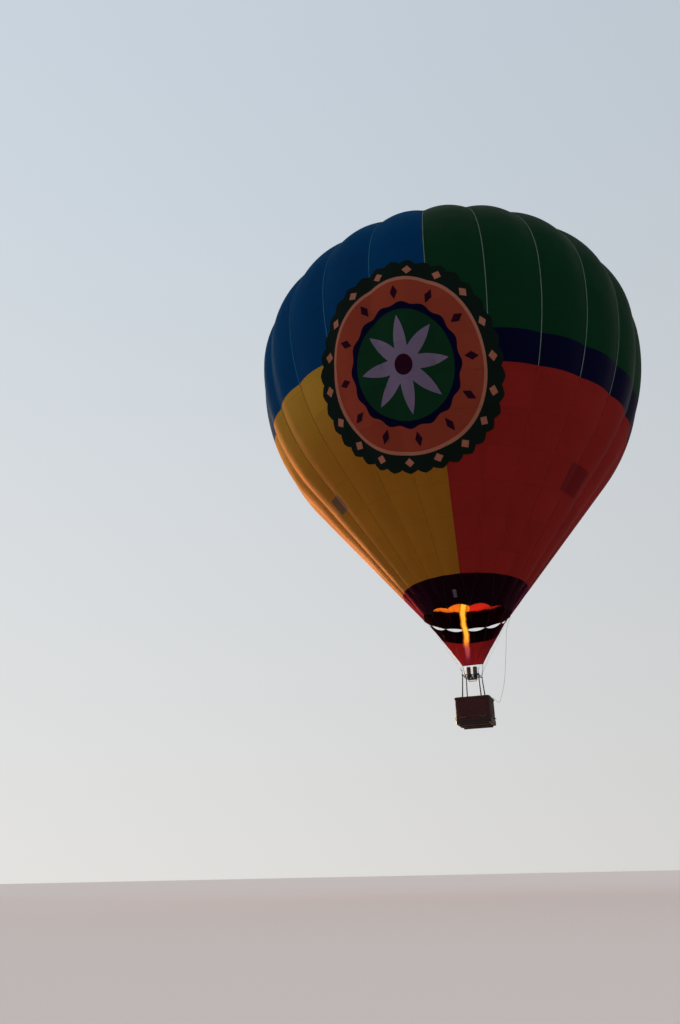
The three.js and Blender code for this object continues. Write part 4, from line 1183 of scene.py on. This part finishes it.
COVER_PROFILE = ([(0.001, 0.0)] + profile(TANK_RADIUS, 0.0, (
    (-0.03, 0.0), (-0.012, 0.006), (-0.003, 0.022), (-0.001, 0.05), (-0.002, 0.2), (-0.001, 0.36),
    (-0.002, 0.52))) + profile(TANK_RADIUS, TANK_HEIGHT, (
        (-0.002, -0.11), (-0.008, -0.08), (-0.03, -0.045), (-0.055, -0.028), (-0.08, -0.006), (-0.09, -0.001),
        (-0.149, -0.001))))
BELT = ((-0.003, -0.02), (0.001, -0.019), (0.001, 0.019), (-0.003, 0.02))
VALVE_PROFILE = ((0.001, 0.0), (0.044, 0.0), (0.046, 0.004), (0.044, 0.009), (0.022, 0.012), (0.018, 0.028),
                 (0.018, 0.036), (0.009, 0.038), (0.009, 0.046), (0.001, 0.046))
for name, side_x, side_y, _ in CORNERS:
    foot = np.array([side_x * FOOT_X, side_y * FOOT_Y, FOOT_LEVEL])
    top = np.array([side_x * FRAME_HALF_X, side_y * FRAME_HALF_Y, FRAME_LEVEL - 0.036])
    share = np.linspace(0, 1, 40)
    path = foot + share[:, None] * (top - foot)
    radius = (SLEEVE_RADIUS - SLEEVE_TAPER * share
              + 0.0012 * np.sin(60 * share) * np.sin(np.pi * share))
    radius[:2] += 0.002
    radius[-2:] -= 0.004
    piece(f"sleeve_{name}", [tube(path, radius, 18)], "upright_leather", f"upright_{name}")
    inward = np.array([-side_x, -side_y, 0]) / math.sqrt(2)
    across = np.array([side_y, -side_x, 0]) / math.sqrt(2) * 0.008
    laces = []
    for k in range(2, 37):
        spot = path[k] + inward * (radius[k] + 0.0003)
        tilt = across if k % 2 else -across
        laces.append(rod(spot - tilt, spot + tilt + (path[k + 1] - path[k]) * 0.7, 0.0014, 5))
    piece(f"sleeve_lacing_{name}", laces, "stitching")
    x, y, base = side_x * TANK_X, side_y * TANK_Y, FLOOR_TOP + 0.001
    cover = piece(f"tank_cover_{name}", [lathe(COVER_PROFILE, 40, (x, y, base))], "tank_cover",
                  f"fuel_tank_{name}", angle=60)
    belts = [lathe(profile(TANK_RADIUS, level, BELT), 40, (x, y, base), True) for level in (0.14, 0.52)]
    piece(f"tank_belts_{name}", belts, "webbing")
    z = base + TANK_HEIGHT + 0.001
    valve = [lathe(VALVE_PROFILE, 28, (x, y, z)), ring(0.028, 0.0045, (x, y, z + 0.052), turns=28, sides=10),
             rod((x - 0.028, y, z + 0.05), (x + 0.028, y, z + 0.05), 0.0035, 8),
             rod((x, y - 0.028, z + 0.05), (x, y + 0.028, z + 0.05), 0.0035, 8),
             rod((x, y, z + 0.03), (x - side_x * 0.06, y, z + 0.03), 0.0105, 14),
             rod((x - side_x * 0.055, y, z + 0.03), (x - side_x * 0.085, y, z + 0.03), 0.0108, 6)]
    piece(f"valve_{name}", valve, "valve_brass", f"tank_valve_{name}")

# Crown line with its ring and cleat

line_path = smooth_path(LINE_ROUTE, 0.011)
line = piece("loose_line", [rope(line_path, LINE_DIAMETER / 2, 0.04)], "rope", "crown_line", angle=180)
plate_tilt = math.atan(slope_at(PLATE_LEVEL))
rise, run = math.sin(plate_tilt), math.cos(plate_tilt)
plate_middle = (polar(LINE_AZIMUTH, tape_radius(PLATE_LEVEL), PLATE_LEVEL)
                + 0.012 * polar(LINE_AZIMUTH, run, -rise))
plate_foot = plate_middle - 0.034 * polar(LINE_AZIMUTH, rise, run)
plate_turn = Matrix.Rotation(math.radians(LINE_AZIMUTH - 90), 4, "Z") @ Matrix.Rotation(plate_tilt, 4, "Y")
link_middle = np.array(LINE_ROUTE[0]) + (0, 0, 0.033)
eye = piece("line_eye", [block((0.005, 0.028, 0.078), plate_middle, 0.002, plate_turn),
                         rod(plate_foot, link_middle + (0, 0, 0.026), 0.004),
                         oval_link(0.056, 0.03, 0.004, link_middle, polar(LINE_AZIMUTH, 1, 0))],
            "steel_wire", "line_ring")
rim_face = BASKET_HALF_X - WALL / 2 + RIM_PAD
horn = smooth_path([(rim_face + out, CLEAT_Y + y, RIM_LEVEL + up) for out, y, up in (
    (0.041, -0.019, 0.024), (0.043, -0.010, 0.006), (0.043, 0.010, 0.006), (0.041, 0.019, 0.024))], 0.004)
foot = block((0.036, 0.030, 0.016), (rim_face + 0.020, CLEAT_Y, RIM_LEVEL + 0.004), 0.004)
cleat = piece("line_horn", [foot, tube(horn, 0.006, 12)], "steel_wire", "line_cleat")

# Camera at the photograph's place

CAMERA_PLACE = (6.370, -34.280, -22.776)
CAMERA_HEADING = math.radians(19.6)
CAMERA_PITCH = math.atan(364 / 810)
CAMERA_ROLL = -0.0204
lens = bpy.data.cameras.new("camera")
lens.lens = 28.48
lens.sensor_width = 36
lens.clip_end = 2000
camera = add("camera", lens)
aim = Matrix.Rotation(CAMERA_HEADING, 4, "Z") @ Matrix.Rotation(math.pi / 2 + CAMERA_PITCH, 4, "X")
camera.matrix_world = Matrix.Translation(CAMERA_PLACE) @ aim @ Matrix.Rotation(CAMERA_ROLL, 4, "Z")
bpy.context.scene.camera = camera

# Plain floor, sky and lights

FLOOR_LEVEL = -23.7
Look("studio_floor", 0.9, specular=0.0).set(Base_Color=(0.62, 0.61, 0.60))
floor_mesh = bpy.data.meshes.new("studio_floor")
floor_verts, floor_faces = lathe([(0.5, FLOOR_LEVEL), (40, FLOOR_LEVEL), (900, FLOOR_LEVEL)], 64)
floor_mesh.from_pydata(floor_verts.tolist(), [], floor_faces[:-1])
floor_mesh.materials.append(LOOKS["studio_floor"])
add("studio_floor", floor_mesh)

# The sky changes its colour with the height and its brightness from left to right
world = bpy.data.worlds.new("studio")
bpy.context.scene.world = world
world.use_nodes = True
sky = world.node_tree
background = sky.nodes["Background"]
direction, parts, ramp, brightness = [sky.nodes.new("ShaderNode" + kind) for kind in
                                      ("TexCoord", "SeparateXYZ", "ValToRGB", "MapRange")]
for start, end in ((direction.outputs["Generated"], parts.inputs[0]), (parts.outputs[2], ramp.inputs[0]),
                   (ramp.outputs[0], background.inputs[0]), (parts.outputs[0], brightness.inputs["Value"]),
                   (brightness.outputs[0], background.inputs[1])):
    sky.links.new(start, end)
ramp_of(ramp.color_ramp, ((0.0, (0.80, 0.79, 0.77)), (0.8, (0.62, 0.70, 0.78))))
for key, number in zip(("From Min", "From Max", "To Min", "To Max"), (-1.0, 1.0, 1.02, 0.68)):
    brightness.inputs[key].default_value = number


def lamp(kind, name, axis, toward, strength, colour, **settings):
    """A light with one of its axes in a direction."""
    data = bpy.data.lights.new(name, kind)
    data.energy = strength
    data.color = colour
    for key, value in settings.items():
        setattr(data, key, value)
    made = add(name, data)
    made.rotation_mode = "QUATERNION"
    made.rotation_quaternion = Vector(toward).to_track_quat(axis, "Y")
    return made


lamp("SUN", "key", "Z", (-0.63, 0.777, 0.04), 15.0, (1.0, 0.38, 0.13), angle=math.radians(14))
lamp("SUN", "left_fill", "Z", (-0.93, -0.25, 0.28), 0.6, (0.95, 0.95, 0.90), angle=math.radians(25))
lamp("SUN", "right_fill", "Z", (0.90, -0.05, 0.42), 0.4, (0.16, 0.85, 1.0), angle=math.radians(25))
glow = lamp("SPOT", "burner_glow", "-Z", (0, 0.407, 0.914), 1900, (1.0, 0.44, 0.20),
            spot_size=math.radians(136), spot_blend=0.1, shadow_soft_size=0.2)
glow.location = (-0.6, -0.2, -11.45)

bpy.context.scene.view_settings.view_transform = "Standard"
